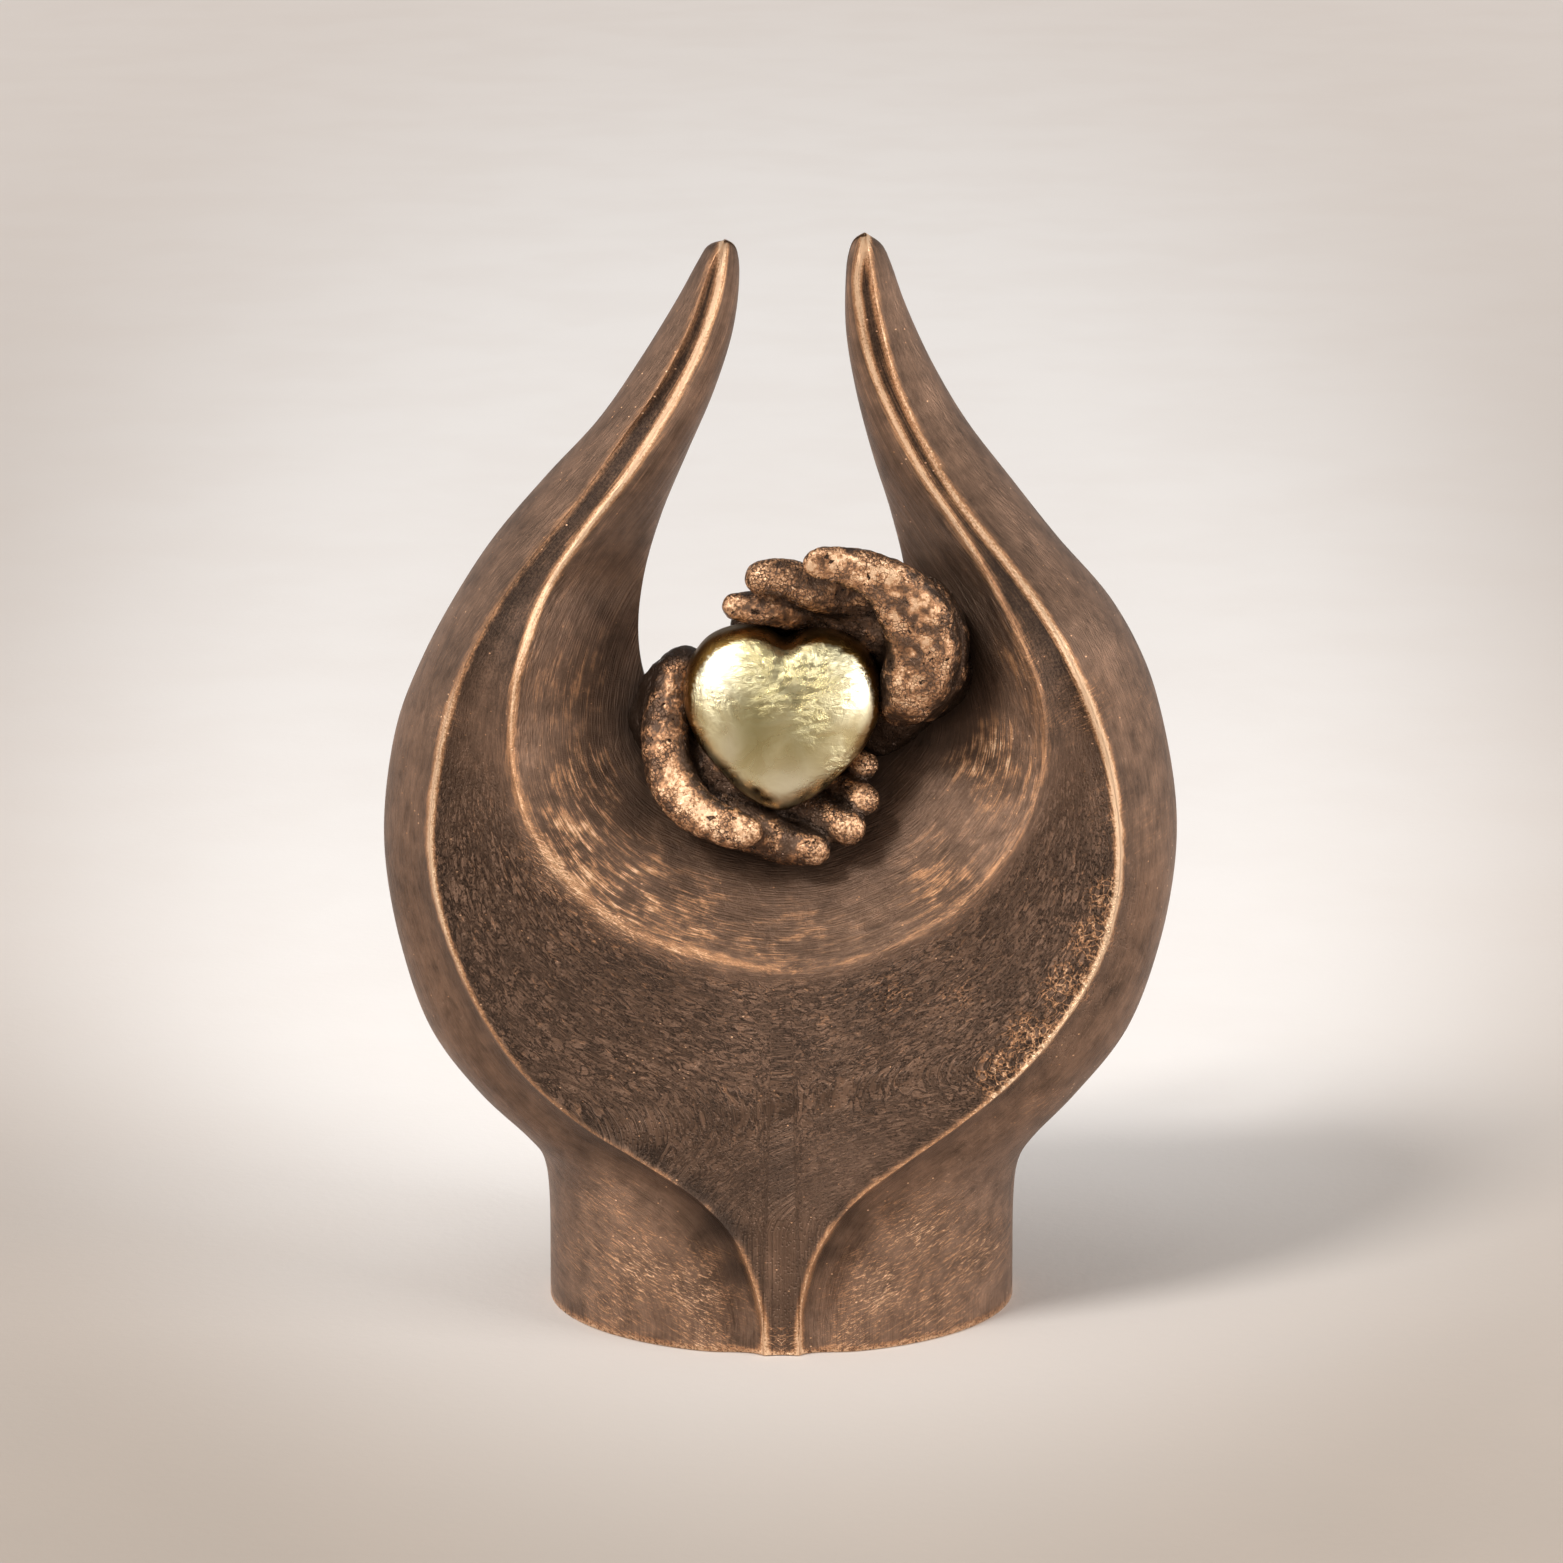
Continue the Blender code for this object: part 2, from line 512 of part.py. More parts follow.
def fresh_depsgraph():
    depsgraph = bpy.context.evaluated_depsgraph_get()
    depsgraph.update()
    return depsgraph


def build_hands():
    """Both hands as one smooth skin: their limbs are joined by a voxel remesh and thinned."""
    bm = bmesh.new()
    for hand in (LOWER_HAND, UPPER_HAND):
        for name, joints in hand.items():
            mesh = limb(name, joints)
            bm.from_mesh(mesh)
            bpy.data.meshes.remove(mesh)
    bmesh.ops.remove_doubles(bm, verts=bm.verts, dist=0.001 * MM)
    hands = new_object("hands_form", bm, helpers)
    remesh = hands.modifiers.new("Skin", "REMESH")
    remesh.mode = "VOXEL"
    remesh.voxel_size = HAND_GRAIN * MM
    smooth = hands.modifiers.new("Soften", "SMOOTH")
    smooth.factor = 0.5
    smooth.iterations = 3
    thin = hands.modifiers.new("Thin", "DECIMATE")
    thin.ratio = HAND_DETAIL
    thin.use_collapse_triangulate = True
    hands.hide_render = True
    hands.display_type = "WIRE"
    return hands


def build_heart(name, proud, collection=None):
    """A puffed heart: a sphere whose outline in the front view is drawn out to the heart's."""
    outline = [(0.0, 0.86), (0.2, 0.965), (0.48, 0.99), (0.78, 0.85), (0.97, 0.52), (1.0, 0.18),
               (0.86, -0.24), (0.62, -0.56), (0.36, -0.83), (0.1, -0.98), (0.0, -1.0)]
    half_width, half_height = HEART_WIDTH / 2 + proud, HEART_HEIGHT / 2 + proud
    side = trace([(half_width * out, half_height * up, 0.0) for out, up in outline])
    bearings = [math.atan2(p.x, -p.y) for p in side][::-1]
    reaches = [math.hypot(p.x, p.y) for p in side][::-1]
    bm = bmesh.new()
    bmesh.ops.create_uvsphere(bm, u_segments=40, v_segments=18, radius=1.0)
    for vert in bm.verts:
        flat = math.hypot(vert.co.x, vert.co.y)
        bearing = math.atan2(abs(vert.co.x), -vert.co.y)
        i = min(max(bisect.bisect(bearings, bearing), 1), len(bearings) - 1)
        share = (bearing - bearings[i - 1]) / max(bearings[i] - bearings[i - 1], 1e-9)
        reach = lerp(reaches[i - 1], reaches[i], min(1.0, max(0.0, share)))
        level = half_width * 0.93
        reach = lerp(level, reach, flat ** 2.2)
        spread_out = flat ** 0.95
        puff = math.copysign(abs(vert.co.z) ** 0.7, vert.co.z)
        turn = math.atan2(vert.co.x, -vert.co.y)
        vert.co = Vector((math.sin(turn) * reach * spread_out,
                          -puff * (HEART_THICKNESS / 2 + proud),
                          -math.cos(turn) * reach * spread_out)) * MM
    turn = Matrix.Rotation(math.radians(HEART_TURN), 4, "Y")
    place = Matrix.Translation(Vector(HEART_CENTRE) * MM)
    bmesh.ops.transform(bm, matrix=place @ turn, verts=bm.verts)
    bmesh.ops.recalc_face_normals(bm, faces=bm.faces)
    return new_object(name, bm, collection)


def finish(thing, name, colour, roughness, metallic):
    """Give a piece its material and smooth shading."""
    material = bpy.data.materials.new(name)
    material.use_nodes = True
    shader = material.node_tree.nodes["Principled BSDF"]
    shader.inputs["Base Color"].default_value = (*colour, 1.0)
    shader.inputs["Roughness"].default_value = roughness
    shader.inputs["Metallic"].default_value = metallic
    thing.data.materials.append(material)
    thing.data.shade_smooth()


def cut_or_join(thing, name, operation, other):
    boolean = thing.modifiers.new(name, "BOOLEAN")
    boolean.operation = operation
    boolean.solver = "EXACT"
    boolean.object = other


for leftover in list(bpy.data.objects):
    bpy.data.objects.remove(leftover)
sculpture = bpy.data.collections.new("hands_holding_heart_sculpture")
helpers = bpy.data.collections.new("forms_and_cutters")
bpy.context.scene.collection.children.link(sculpture)
bpy.context.scene.collection.children.link(helpers)

body = build_body()
hands_form = build_hands()
heart = build_heart("heart", 0.0)
seat = build_heart("heart_seat", HEART_CLEARANCE, helpers)
seat.hide_render = True
seat.display_type = "WIRE"
cut_or_join(body, "Hands", "UNION", hands_form)
cut_or_join(body, "Heart seat", "DIFFERENCE", seat)
finish(body, "bronze_patina", (0.16, 0.09, 0.055), 0.42, 0.7)
finish(heart, "gilding", (0.72, 0.6, 0.28), 0.3, 1.0)
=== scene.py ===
# %% [markdown]
# # Hands that hold a heart
# This table sculpture is one bronze casting: an oval foot opens into two raised wings, and in
# their hollow a pair of cupped hands holds a gilded heart. The measured part comes first, as a
# fixed frame, so everything modelled here keeps its size and its place. Its mesh is coarse on
# purpose, and so each piece is modelled again here, finer, over the same lines.

# %% Load the measured part
import math

import bpy
import numpy as np
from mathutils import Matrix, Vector
from mathutils import noise as turbulence
from mathutils.bvhtree import BVHTree


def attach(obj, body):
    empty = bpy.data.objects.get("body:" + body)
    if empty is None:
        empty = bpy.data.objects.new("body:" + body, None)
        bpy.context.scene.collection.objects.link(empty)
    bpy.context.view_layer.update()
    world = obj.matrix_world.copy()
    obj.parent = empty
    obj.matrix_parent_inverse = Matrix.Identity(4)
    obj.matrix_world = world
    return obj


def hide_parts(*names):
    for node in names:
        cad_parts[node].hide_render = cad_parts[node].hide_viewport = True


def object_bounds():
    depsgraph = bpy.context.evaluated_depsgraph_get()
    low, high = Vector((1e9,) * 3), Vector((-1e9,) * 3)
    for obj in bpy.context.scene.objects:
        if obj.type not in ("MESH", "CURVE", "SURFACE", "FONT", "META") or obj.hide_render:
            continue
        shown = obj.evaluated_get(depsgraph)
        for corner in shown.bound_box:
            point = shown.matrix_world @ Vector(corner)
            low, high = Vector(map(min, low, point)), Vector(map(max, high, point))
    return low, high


MM = 0.001
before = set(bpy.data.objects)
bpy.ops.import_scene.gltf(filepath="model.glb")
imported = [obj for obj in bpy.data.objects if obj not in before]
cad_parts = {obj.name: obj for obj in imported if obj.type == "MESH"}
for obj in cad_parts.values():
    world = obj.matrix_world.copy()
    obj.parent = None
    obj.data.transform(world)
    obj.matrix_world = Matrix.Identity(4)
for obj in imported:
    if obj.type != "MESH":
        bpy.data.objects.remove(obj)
cad_box = [list(corner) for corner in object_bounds()]
print("measured part", cad_box)


def select_only(thing):
    """Leaves one object selected and active, because an operator acts on all that is selected."""
    bpy.ops.object.select_all(action="DESELECT")
    thing.select_set(True)
    bpy.context.view_layer.objects.active = thing


# %% [markdown]
# The camera stands a little above the sculpture and far away, as a product photographer's does,
# so that the upright wings hardly converge. A low sun lights the paper evenly however far it
# runs, and soft lamps shape the metal. Metal shows what is around it, so the room is bright at
# both sides and dim behind the camera: the heart's middle stays darker than its two lobes.

# %% Camera
VIEW_HEIGHT = 147.7 * MM
VIEW_DISTANCE = 1.6
VIEW_TILT = math.radians(15.0)
LENS, SENSOR_WIDTH = 134.0, 36.0
SIGHT = 30.0
toward_camera = Vector((0.0, -math.cos(VIEW_TILT), math.sin(VIEW_TILT)))
view_centre = Vector((0.0, 0.0, VIEW_HEIGHT))


def aim(place, target):
    """The turn that points a lamp or the camera from a place at a target."""
    return (Vector(target) - Vector(place)).to_track_quat("-Z", "Y").to_euler()


camera_place = view_centre + toward_camera * VIEW_DISTANCE
bpy.ops.object.camera_add(location=camera_place, rotation=aim(camera_place, view_centre))
camera = bpy.context.object
camera.data.lens = LENS
camera.data.sensor_width = SENSOR_WIDTH
camera.data.clip_end = SIGHT
bpy.context.scene.camera = camera
bpy.context.scene.view_settings.view_transform = "Standard"
print("camera at", tuple(round(value, 3) for value in camera_place))

# %% Lamps
# Each lamp's place and size in metres, its power in watts and its colour.
LAMPS = {
    "left_window": ((-1.05, -0.75, 0.62), 0.75, 7.0, (1.0, 0.97, 0.93)),
    "right_window": ((1.15, -0.55, 0.45), 0.6, 11.5, (1.0, 0.98, 0.95)),
    "top_light": ((-0.2, -0.25, 1.5), 0.8, 3.0, (1.0, 0.98, 0.96)),
}
for name, (place, size, power, colour) in LAMPS.items():
    bpy.ops.object.light_add(type="AREA", location=place, rotation=aim(place, view_centre))
    lamp = bpy.context.object
    lamp.name = name
    lamp.data.shape = "SQUARE"
    lamp.data.size = size
    lamp.data.energy = power
    lamp.data.color = colour
SUN_PLACE = (-0.75, -0.7, 1.15)
bpy.ops.object.light_add(type="SUN", location=SUN_PLACE, rotation=aim(SUN_PLACE, (0, 0, 0)))
sun = bpy.context.object
sun.name = "low_sun"
sun.data.energy = 1.75
sun.data.angle = math.radians(14.0)
sun.data.color = (1.0, 0.98, 0.95)
print("lamps", list(LAMPS) + [sun.name])

# %% [markdown]
# A pattern is a number that varies over the surface, such as how rubbed the copper is. Patterns
# are written below as plain arithmetic on signals, and each step of it becomes a shader node.


# %% Signals for materials
def add_node(tree, kind, **settings):
    """A shader node with its settings given by name."""
    made = tree.nodes.new(kind)
    for name, value in settings.items():
        setattr(made, name, value)
    return made


def feed(socket, value):
    """Wires a signal to a socket, or writes a plain value into it."""
    if isinstance(value, Signal):
        value.tree.links.new(value.socket, socket)
    else:
        socket.default_value = value


class Signal:
    """What a shader node gives out: a number, a place or a colour that varies over the surface."""

    def __init__(self, tree, socket):
        self.tree = tree
        self.socket = socket

    def step(self, kind, values, output=0, **settings):
        """A signal from one more node, whose sockets are given by name or by number."""
        made = add_node(self.tree, kind, **settings)
        for name, value in values.items():
            feed(made.inputs[name], value)
        return Signal(self.tree, made.outputs[output])

    def calc(self, operation, *values, clamp=False):
        """One step of arithmetic on signals and plain numbers."""
        values = dict(enumerate(values))
        return self.step("ShaderNodeMath", values, operation=operation, use_clamp=clamp)

    def __add__(self, other):
        return self.calc("ADD", self, other)

    def __sub__(self, other):
        return self.calc("SUBTRACT", self, other)

    def __mul__(self, other):
        return self.calc("MULTIPLY", self, other)

    def __truediv__(self, other):
        return self.calc("DIVIDE", self, other)

    def __rpow__(self, other):
        return self.calc("POWER", other, self)

    def __abs__(self):
        return self.calc("ABSOLUTE", self)

    __radd__, __rmul__ = __add__, __mul__

    def root(self):
        return self.calc("SQRT", self)

    def or_more(self, other):
        """The greater of two signals."""
        return self.calc("MAXIMUM", self, other)

    def limited(self):
        """The signal kept between 0 and 1."""
        return self.calc("ADD", self, 0.0, clamp=True)

    def ramp(self, low, high, start=0.0, end=1.0):
        """A soft step: from start to end while this signal goes from low to high."""
        ends = {"From Min": low, "From Max": high, "To Min": start, "To Max": end}
        return self.step("ShaderNodeMapRange", {"Value": self, **ends}, "Result",
                         interpolation_type="SMOOTHSTEP")

    def blend(self, low, high):
        """Mixes two colours: the low one where this signal is 0, the high one where it is 1."""
        low, high = (end if isinstance(end, Signal) else (*end, 1.0) for end in (low, high))
        return self.step("ShaderNodeMix", {"Factor": self, 6: low, 7: high}, 2, data_type="RGBA")

    def axes(self):
        """The three coordinates of a place."""
        split = add_node(self.tree, "ShaderNodeSeparateXYZ")
        feed(split.inputs[0], self)
        return [Signal(self.tree, output) for output in split.outputs]

    def stretched(self, *scale):
        """A place scaled each way by its own amount."""
        return self.step("ShaderNodeVectorMath", {0: self, 1: scale}, operation="MULTIPLY")

    def noise(self, scale=1.0, detail=3.0, roughness=0.55, distortion=0.0, output="Fac"):
        """A soft random pattern around 0.5 over this place."""
        values = {"Vector": self, "Scale": scale, "Detail": detail, "Roughness": roughness,
                  "Distortion": distortion}
        return self.step("ShaderNodeTexNoise", values, output)

    def cells(self, scale, feature="F1"):
        """A pattern of cells: the distance to the nearest point, or to the border of two."""
        values = {"Vector": self, "Scale": scale}
        return self.step("ShaderNodeTexVoronoi", values, "Distance", feature=feature)


def joined(across, up):
    """A place from two of its coordinates."""
    return across.step("ShaderNodeCombineXYZ", {0: across, 1: up})


def attributes(tree, *names):
    """Numbers kept on the points of the mesh, one signal for each name."""
    return [Signal(tree, add_node(tree, "ShaderNodeAttribute", attribute_name=name).outputs["Fac"])
            for name in names]


def object_place(tree):
    """The place on the object, in millimetres."""
    place = Signal(tree, add_node(tree, "ShaderNodeTexCoord").outputs["Object"])
    return place.stretched(1 / MM, 1 / MM, 1 / MM)


def finish_group(tree, **results):
    """Gives a shader group its outputs."""
    for name in results:
        tree.interface.new_socket(name, in_out="OUTPUT", socket_type="NodeSocketFloat")
    end = add_node(tree, "NodeGroupOutput")
    for name, value in results.items():
        feed(end.inputs[name], value)


def use_group(tree, group):
    """Places a shader group in a material and gives its outputs as signals."""
    placed_group = add_node(tree, "ShaderNodeGroup", node_tree=group)
    return [Signal(tree, output) for output in placed_group.outputs]


def new_material(name):
    """A material with its tree and its shader."""
    material = bpy.data.materials.new(name)
    material.use_nodes = True
    return material, material.node_tree, material.node_tree.nodes["Principled BSDF"]


def dress(shader, colour, roughness, metallic, height, strength, depth):
    """Wires a material's colour, sheen and relief. The relief's depth is in metres."""
    relief = height.step("ShaderNodeBump",
                         {"Strength": strength, "Distance": depth, "Height": height})
    for name, value in (("Base Color", colour), ("Roughness", roughness), ("Metallic", metallic),
                        ("Normal", relief)):
        feed(shader.inputs[name], value)


# %% [markdown]
# The room is a sphere of light around everything, and only its reflection is ever seen.

# %% Room
room = bpy.data.worlds.new("studio_room")
room.use_nodes = True
tree = room.node_tree
direction = Signal(tree, add_node(tree, "ShaderNodeTexCoord").outputs["Generated"])
sideways, _, upward = direction.axes()
side_light = abs(sideways).ramp(0.18, 0.85, 0.20, 0.62)
low_light = abs(upward).ramp(0.0, 0.55, 0.10, 0.0)
feed(tree.nodes["Background"].inputs["Strength"], side_light + low_light)
tree.nodes["Background"].inputs["Color"].default_value = (0.98, 0.95, 0.92, 1.0)
bpy.context.scene.world = room
print("room", room.name)

# %% [markdown]
# The floor is a sheet of warm off-white paper, wide enough to fill the frame behind the object.
# Painted shade makes it darker toward the frame's corners, most of all below, and painted light
# makes it paler toward the top of the frame; its surface has a faint tooth.

# %% Floor
FLOOR_SIZE = 16.0
FLOOR_GAP = 0.3 * MM
bpy.ops.mesh.primitive_plane_add(size=FLOOR_SIZE, location=(0.0, 0.0, -FLOOR_GAP))
floor = bpy.context.object
floor.name = "paper_floor"
paper, tree, shader = new_material("warm_paper")
place = object_place(tree)
# Where a point of the floor shows in the frame, in millimetres at the object's distance.
camera_back, camera_up = -camera_place.y / MM, camera_place.z / MM
slope = math.tan(VIEW_TILT)
to_right, to_back, _ = place.axes()
away = to_back + camera_back
reach = (away + camera_up * slope) / (VIEW_DISTANCE / MM)
up = (away * slope - camera_up) / reach
right = to_right / (reach * math.cos(VIEW_TILT))
off_middle = (up * up + right * right).root()
# Painted shade and light: the colour darkens low in the frame and toward its corners, and pales
# toward the top.
pale = up.ramp(-230.0, -70.0).blend((0.56, 0.51, 0.47), (0.92, 0.885, 0.865))
pale = up.ramp(20.0, 180.0).blend(pale, (0.99, 0.96, 0.945))
corner = up.ramp(-230.0, 0.0).blend((0.42, 0.365, 0.32), (0.66, 0.60, 0.56))
corner = up.ramp(40.0, 220.0).blend(corner, (0.86, 0.79, 0.745))
pale = off_middle.ramp(120.0, 265.0).blend(pale, corner)
mottle = place.noise(0.012, 4.0).ramp(0.35, 0.7, 0.0, 0.06)
tooth = place.noise(0.35, 4.0)
dress(shader, mottle.blend(pale, (0.62, 0.50, 0.42)), 0.9, 0.0, tooth, 0.25, 0.4 * MM)
shader.inputs["Specular IOR Level"].default_value = 0.1
floor.data.materials.append(paper)
print("floor", floor.dimensions[:])

# %% [markdown]
# A wing is drawn as four lines in the front view: the rim of the gap, the lip of the bowl, the
# raised edge of the leaf and the outline. A smooth spline runs through a few points of each.
# Each point is a share of half the width and a share of the height. The shoulder, where the foot
# widens into the body, is the exception: its points are shares of the way between the two.

# %% Sizes and lines
BODY_WIDTH = 218.4
BODY_HEIGHT = 300.0
FOOT_WIDTH = 130.0
FOOT_DEPTH = 108.0
FOOT_HEIGHT = 29.0
BELLY_DEPTH = 64.0
BACK_DEPTH = 57.0
STEM_WIDTH = 9.4
EDGE_RISE = 2.8
HIGH_EDGE_SHARE = 0.75
LIP_RISE = 1.6
LEAF_HOLLOW = 5.5
FLUTE_DEPTH = 3.6
FLUTE_WIDTH = 6.0
GAP_FLOOR_HEIGHT = 157.0
RIM_FORWARD = 14.0
RIM_ROUNDING = 38.0
PARTING_START = GAP_FLOOR_HEIGHT - 8.0
PARTING_END = GAP_FLOOR_HEIGHT + 54.0
HORN_ROUNDNESS = 1.5
BOWL_FULLNESS = 0.4
LIP_SOFTNESS = 6.0

LEFT = {
    "tip": (0.141, 0.9937),
    "shoulder": [(0.02, 0.127), (0.064, 0.146), (0.18, 0.166), (0.456, 0.205), (0.74, 0.263),
                 (0.914, 0.341), (1.0, 0.418)],
    "outline": [(0.999, 0.475), (0.963, 0.551), (0.903, 0.607), (0.821, 0.663), (0.721, 0.719),
                (0.592, 0.775), (0.454, 0.830), (0.350, 0.885), (0.253, 0.943), (0.205, 0.975),
                (0.182, 0.988)],
    "edge": [(0.073, 0.073), (0.115, 0.111), (0.201, 0.147), (0.350, 0.183), (0.498, 0.214),
             (0.639, 0.257), (0.741, 0.309), (0.810, 0.362), (0.854, 0.414), (0.869, 0.467),
             (0.847, 0.539), (0.801, 0.605), (0.722, 0.665), (0.617, 0.720), (0.499, 0.771),
             (0.391, 0.824), (0.290, 0.876), (0.216, 0.929), (0.170, 0.977)],
    "lip": [(0.149, 0.382), (0.296, 0.397), (0.430, 0.421), (0.527, 0.450), (0.597, 0.483),
            (0.641, 0.517), (0.661, 0.556), (0.655, 0.605), (0.622, 0.656), (0.561, 0.705),
            (0.472, 0.750), (0.378, 0.793), (0.288, 0.843), (0.222, 0.886), (0.175, 0.929),
            (0.151, 0.962)],
    "rim": [(0.180, 0.537), (0.290, 0.564), (0.340, 0.600), (0.356, 0.643), (0.342, 0.690),
            (0.298, 0.744), (0.233, 0.801), (0.167, 0.857), (0.120, 0.912), (0.104, 0.958),
            (0.107, 0.980), (0.117, 0.989)],
}
RIGHT = {
    "tip": (0.208, 1.0),
    "shoulder": [(0.02, 0.127), (0.064, 0.146), (0.163, 0.166), (0.412, 0.205), (0.709, 0.263),
                 (0.896, 0.341), (0.985, 0.418)],
    "outline": [(0.994, 0.475), (0.958, 0.551), (0.910, 0.607), (0.825, 0.663), (0.693, 0.719),
                (0.572, 0.775), (0.457, 0.830), (0.369, 0.885), (0.302, 0.939), (0.270, 0.972),
                (0.248, 0.989)],
    "edge": [(0.063, 0.073), (0.106, 0.111), (0.180, 0.147), (0.306, 0.183), (0.429, 0.214),
             (0.578, 0.257), (0.704, 0.309), (0.788, 0.362), (0.827, 0.414), (0.834, 0.467),
             (0.806, 0.539), (0.745, 0.605), (0.662, 0.665), (0.553, 0.718), (0.440, 0.768),
             (0.344, 0.824), (0.278, 0.876), (0.239, 0.929), (0.217, 0.977)],
    "lip": [(0.155, 0.382), (0.288, 0.399), (0.406, 0.421), (0.497, 0.450), (0.571, 0.483),
            (0.621, 0.517), (0.644, 0.556), (0.633, 0.605), (0.586, 0.654), (0.514, 0.703),
            (0.428, 0.751), (0.344, 0.795), (0.272, 0.843), (0.222, 0.886), (0.194, 0.929),
            (0.185, 0.962)],
    "rim": [(0.150, 0.534), (0.235, 0.557), (0.285, 0.594), (0.312, 0.643), (0.307, 0.692),
            (0.273, 0.744), (0.224, 0.801), (0.184, 0.857), (0.159, 0.912), (0.158, 0.958),
            (0.164, 0.980), (0.179, 0.994)],
}


def smooth_line(points, steps=14):
    """A dense smooth line through points: a centripetal Catmull-Rom spline.

    A line that starts in the middle of the body crosses it level, so that both sides join.
    """
    knots = np.array(points, dtype=float)
    before = 2 * knots[0] - knots[1]
    if knots.shape[1] == 2 and knots[0, 0] == 0.0:
        before = knots[1] * (-1.0, 1.0)
    knots = np.vstack([before, knots, 2 * knots[-1] - knots[-2]])
    line = []
    for p0, p1, p2, p3 in zip(knots, knots[1:], knots[2:], knots[3:]):
        t1 = np.linalg.norm(p1 - p0) ** 0.5
        t2 = t1 + np.linalg.norm(p2 - p1) ** 0.5
        t3 = t2 + np.linalg.norm(p3 - p2) ** 0.5
        for t in np.linspace(t1, t2, steps, endpoint=False):
            a1 = p0 * ((t1 - t) / t1) + p1 * (t / t1)
            a2 = p1 * ((t2 - t) / (t2 - t1)) + p2 * ((t - t1) / (t2 - t1))
            a3 = p2 * ((t3 - t) / (t3 - t2)) + p3 * ((t - t2) / (t3 - t2))
            b1 = a1 * ((t2 - t) / t2) + a2 * (t / t2)
            b2 = a2 * ((t3 - t) / (t3 - t1)) + a3 * ((t - t1) / (t3 - t1))
            line.append(b1 * ((t2 - t) / (t2 - t1)) + b2 * ((t - t1) / (t2 - t1)))
    return np.array(line + [knots[-2]])


def smoothstep(low, high, value):
    share = np.clip((value - low) / (high - low), 0.0, 1.0)
    return share * share * (3 - 2 * share)


def mix(low, high, share):
    return low + (high - low) * share


# %% [markdown]
# Behind the lines the body is a plain rounded hull, and the lip, the leaf and the raised edge
# are carved into it. A ridge is a bump that fades with the true distance from its line, so it
# keeps the same width wherever it runs.


# %% One wing's lines and depths
def depth_profile(foot, belly):
    """Half of the body's depth over height, for its front or for its back."""
    shares = [(0.94, 0.25), (1.0, 0.375), (0.97, 0.46), (0.88, 0.54), (0.76, 0.61),
              (0.63, 0.67), (0.5, 0.73), (0.32, 0.83), (0.14, 1.0)]
    points = [(foot, 0.0, 0.0), (foot * 0.99, FOOT_HEIGHT, 0.0)]
    points.append((mix(foot, belly, 0.1), BODY_HEIGHT * 0.15, 0.0))
    points += [(belly * depth, BODY_HEIGHT * height, 0.0) for depth, height in shares]
    return smooth_line(points)[:, :2]


def arc_lengths(line):
    steps = np.linalg.norm(np.diff(line, axis=0), axis=1)
    return np.concatenate([[0.0], np.cumsum(steps)])


def distance_to(points, line):
    """How far points of the front view are from a line of short straight pieces."""
    start, step = line[:-1], np.diff(line, axis=0)
    length = np.maximum((step ** 2).sum(1), 1e-12)
    nearest = []
    for part in np.array_split(points, max(1, len(points) // 4000)):
        reach = ((part[:, None] - start) * step).sum(2) / length
        foot = start + np.clip(reach, 0.0, 1.0)[..., None] * step
        nearest.append(np.sqrt(((part[:, None] - foot) ** 2).sum(2).min(1)))
    return np.concatenate(nearest)


class Wing:
    """The lines of one side of the body, kept as (distance out from the middle, height)."""

    def __init__(self, side, shares):
        self.side = side
        half = BODY_WIDTH / 2
        foot = FOOT_WIDTH / 2
        stem = STEM_WIDTH / 2
        self.tip = np.array([half * shares["tip"][0], BODY_HEIGHT * shares["tip"][1]])
        starts = {
            "outline": [(foot, 0.0), (foot, FOOT_HEIGHT)],
            "edge": [(stem, 0.0), (stem, 9.0)],
            "lip": [(0.0, BODY_HEIGHT * 0.376)],
            "rim": [(0.0, GAP_FLOOR_HEIGHT)],
        }
        for out, up in shares["shoulder"]:
            starts["outline"].append((mix(foot, half, out), BODY_HEIGHT * up))
        self.lines = {}
        for name, start in starts.items():
            points = [(half * out, BODY_HEIGHT * up) for out, up in shares[name]]
            self.lines[name] = smooth_line(start + points + [tuple(self.tip)])
        self.arcs = {name: arc_lengths(line) for name, line in self.lines.items()}
        self.front = depth_profile(FOOT_DEPTH / 2, BELLY_DEPTH)
        self.back = depth_profile(FOOT_DEPTH / 2, BACK_DEPTH)

    def hull(self, places, depths, parted=None):
        """Depth of the plain rounded body behind points of the front view.

        Parted goes from 0, one oval in plan, to 1, where each wing is its own oval.
        """
        out, height = places[..., 0], places[..., 1]
        if parted is None:
            parted = smoothstep(PARTING_START, PARTING_END, height)
        outline, rim = self.lines["outline"], self.lines["rim"]
        width = np.interp(height, outline[:, 1], outline[:, 0])
        rim_width = np.interp(height, rim[:, 1], rim[:, 0])
        middle = parted * (width + rim_width) / 2
        half_width = np.maximum(width - middle, 1e-6)
        depth = np.interp(height, depths[:, 1], depths[:, 0])
        depth = (depth ** -4 + (HORN_ROUNDNESS * half_width) ** -4) ** -0.25
        across = np.minimum(1.0, np.abs(out - middle) / half_width)
        return depth * np.sqrt(1.0 - across * across)

    def cross(self, name, pivot, target):
        """Where a section from the pivot to a target crosses a line, and how far along it."""
        line, arcs = self.lines[name], self.arcs[name]
        along = target - pivot
        side = (line - pivot) @ np.array([-along[1], along[0]])
        for i in np.nonzero((side[:-1] <= 0.0) != (side[1:] <= 0.0))[0]:
            share = side[i] / (side[i] - side[i + 1])
            point = mix(line[i], line[i + 1], share)
            reach = (point - pivot) @ along / (along @ along)
            if 0.0 < reach <= 1.0 + 1e-6:
                return point, mix(arcs[i], arcs[i + 1], share)
        return target, arcs[-1]


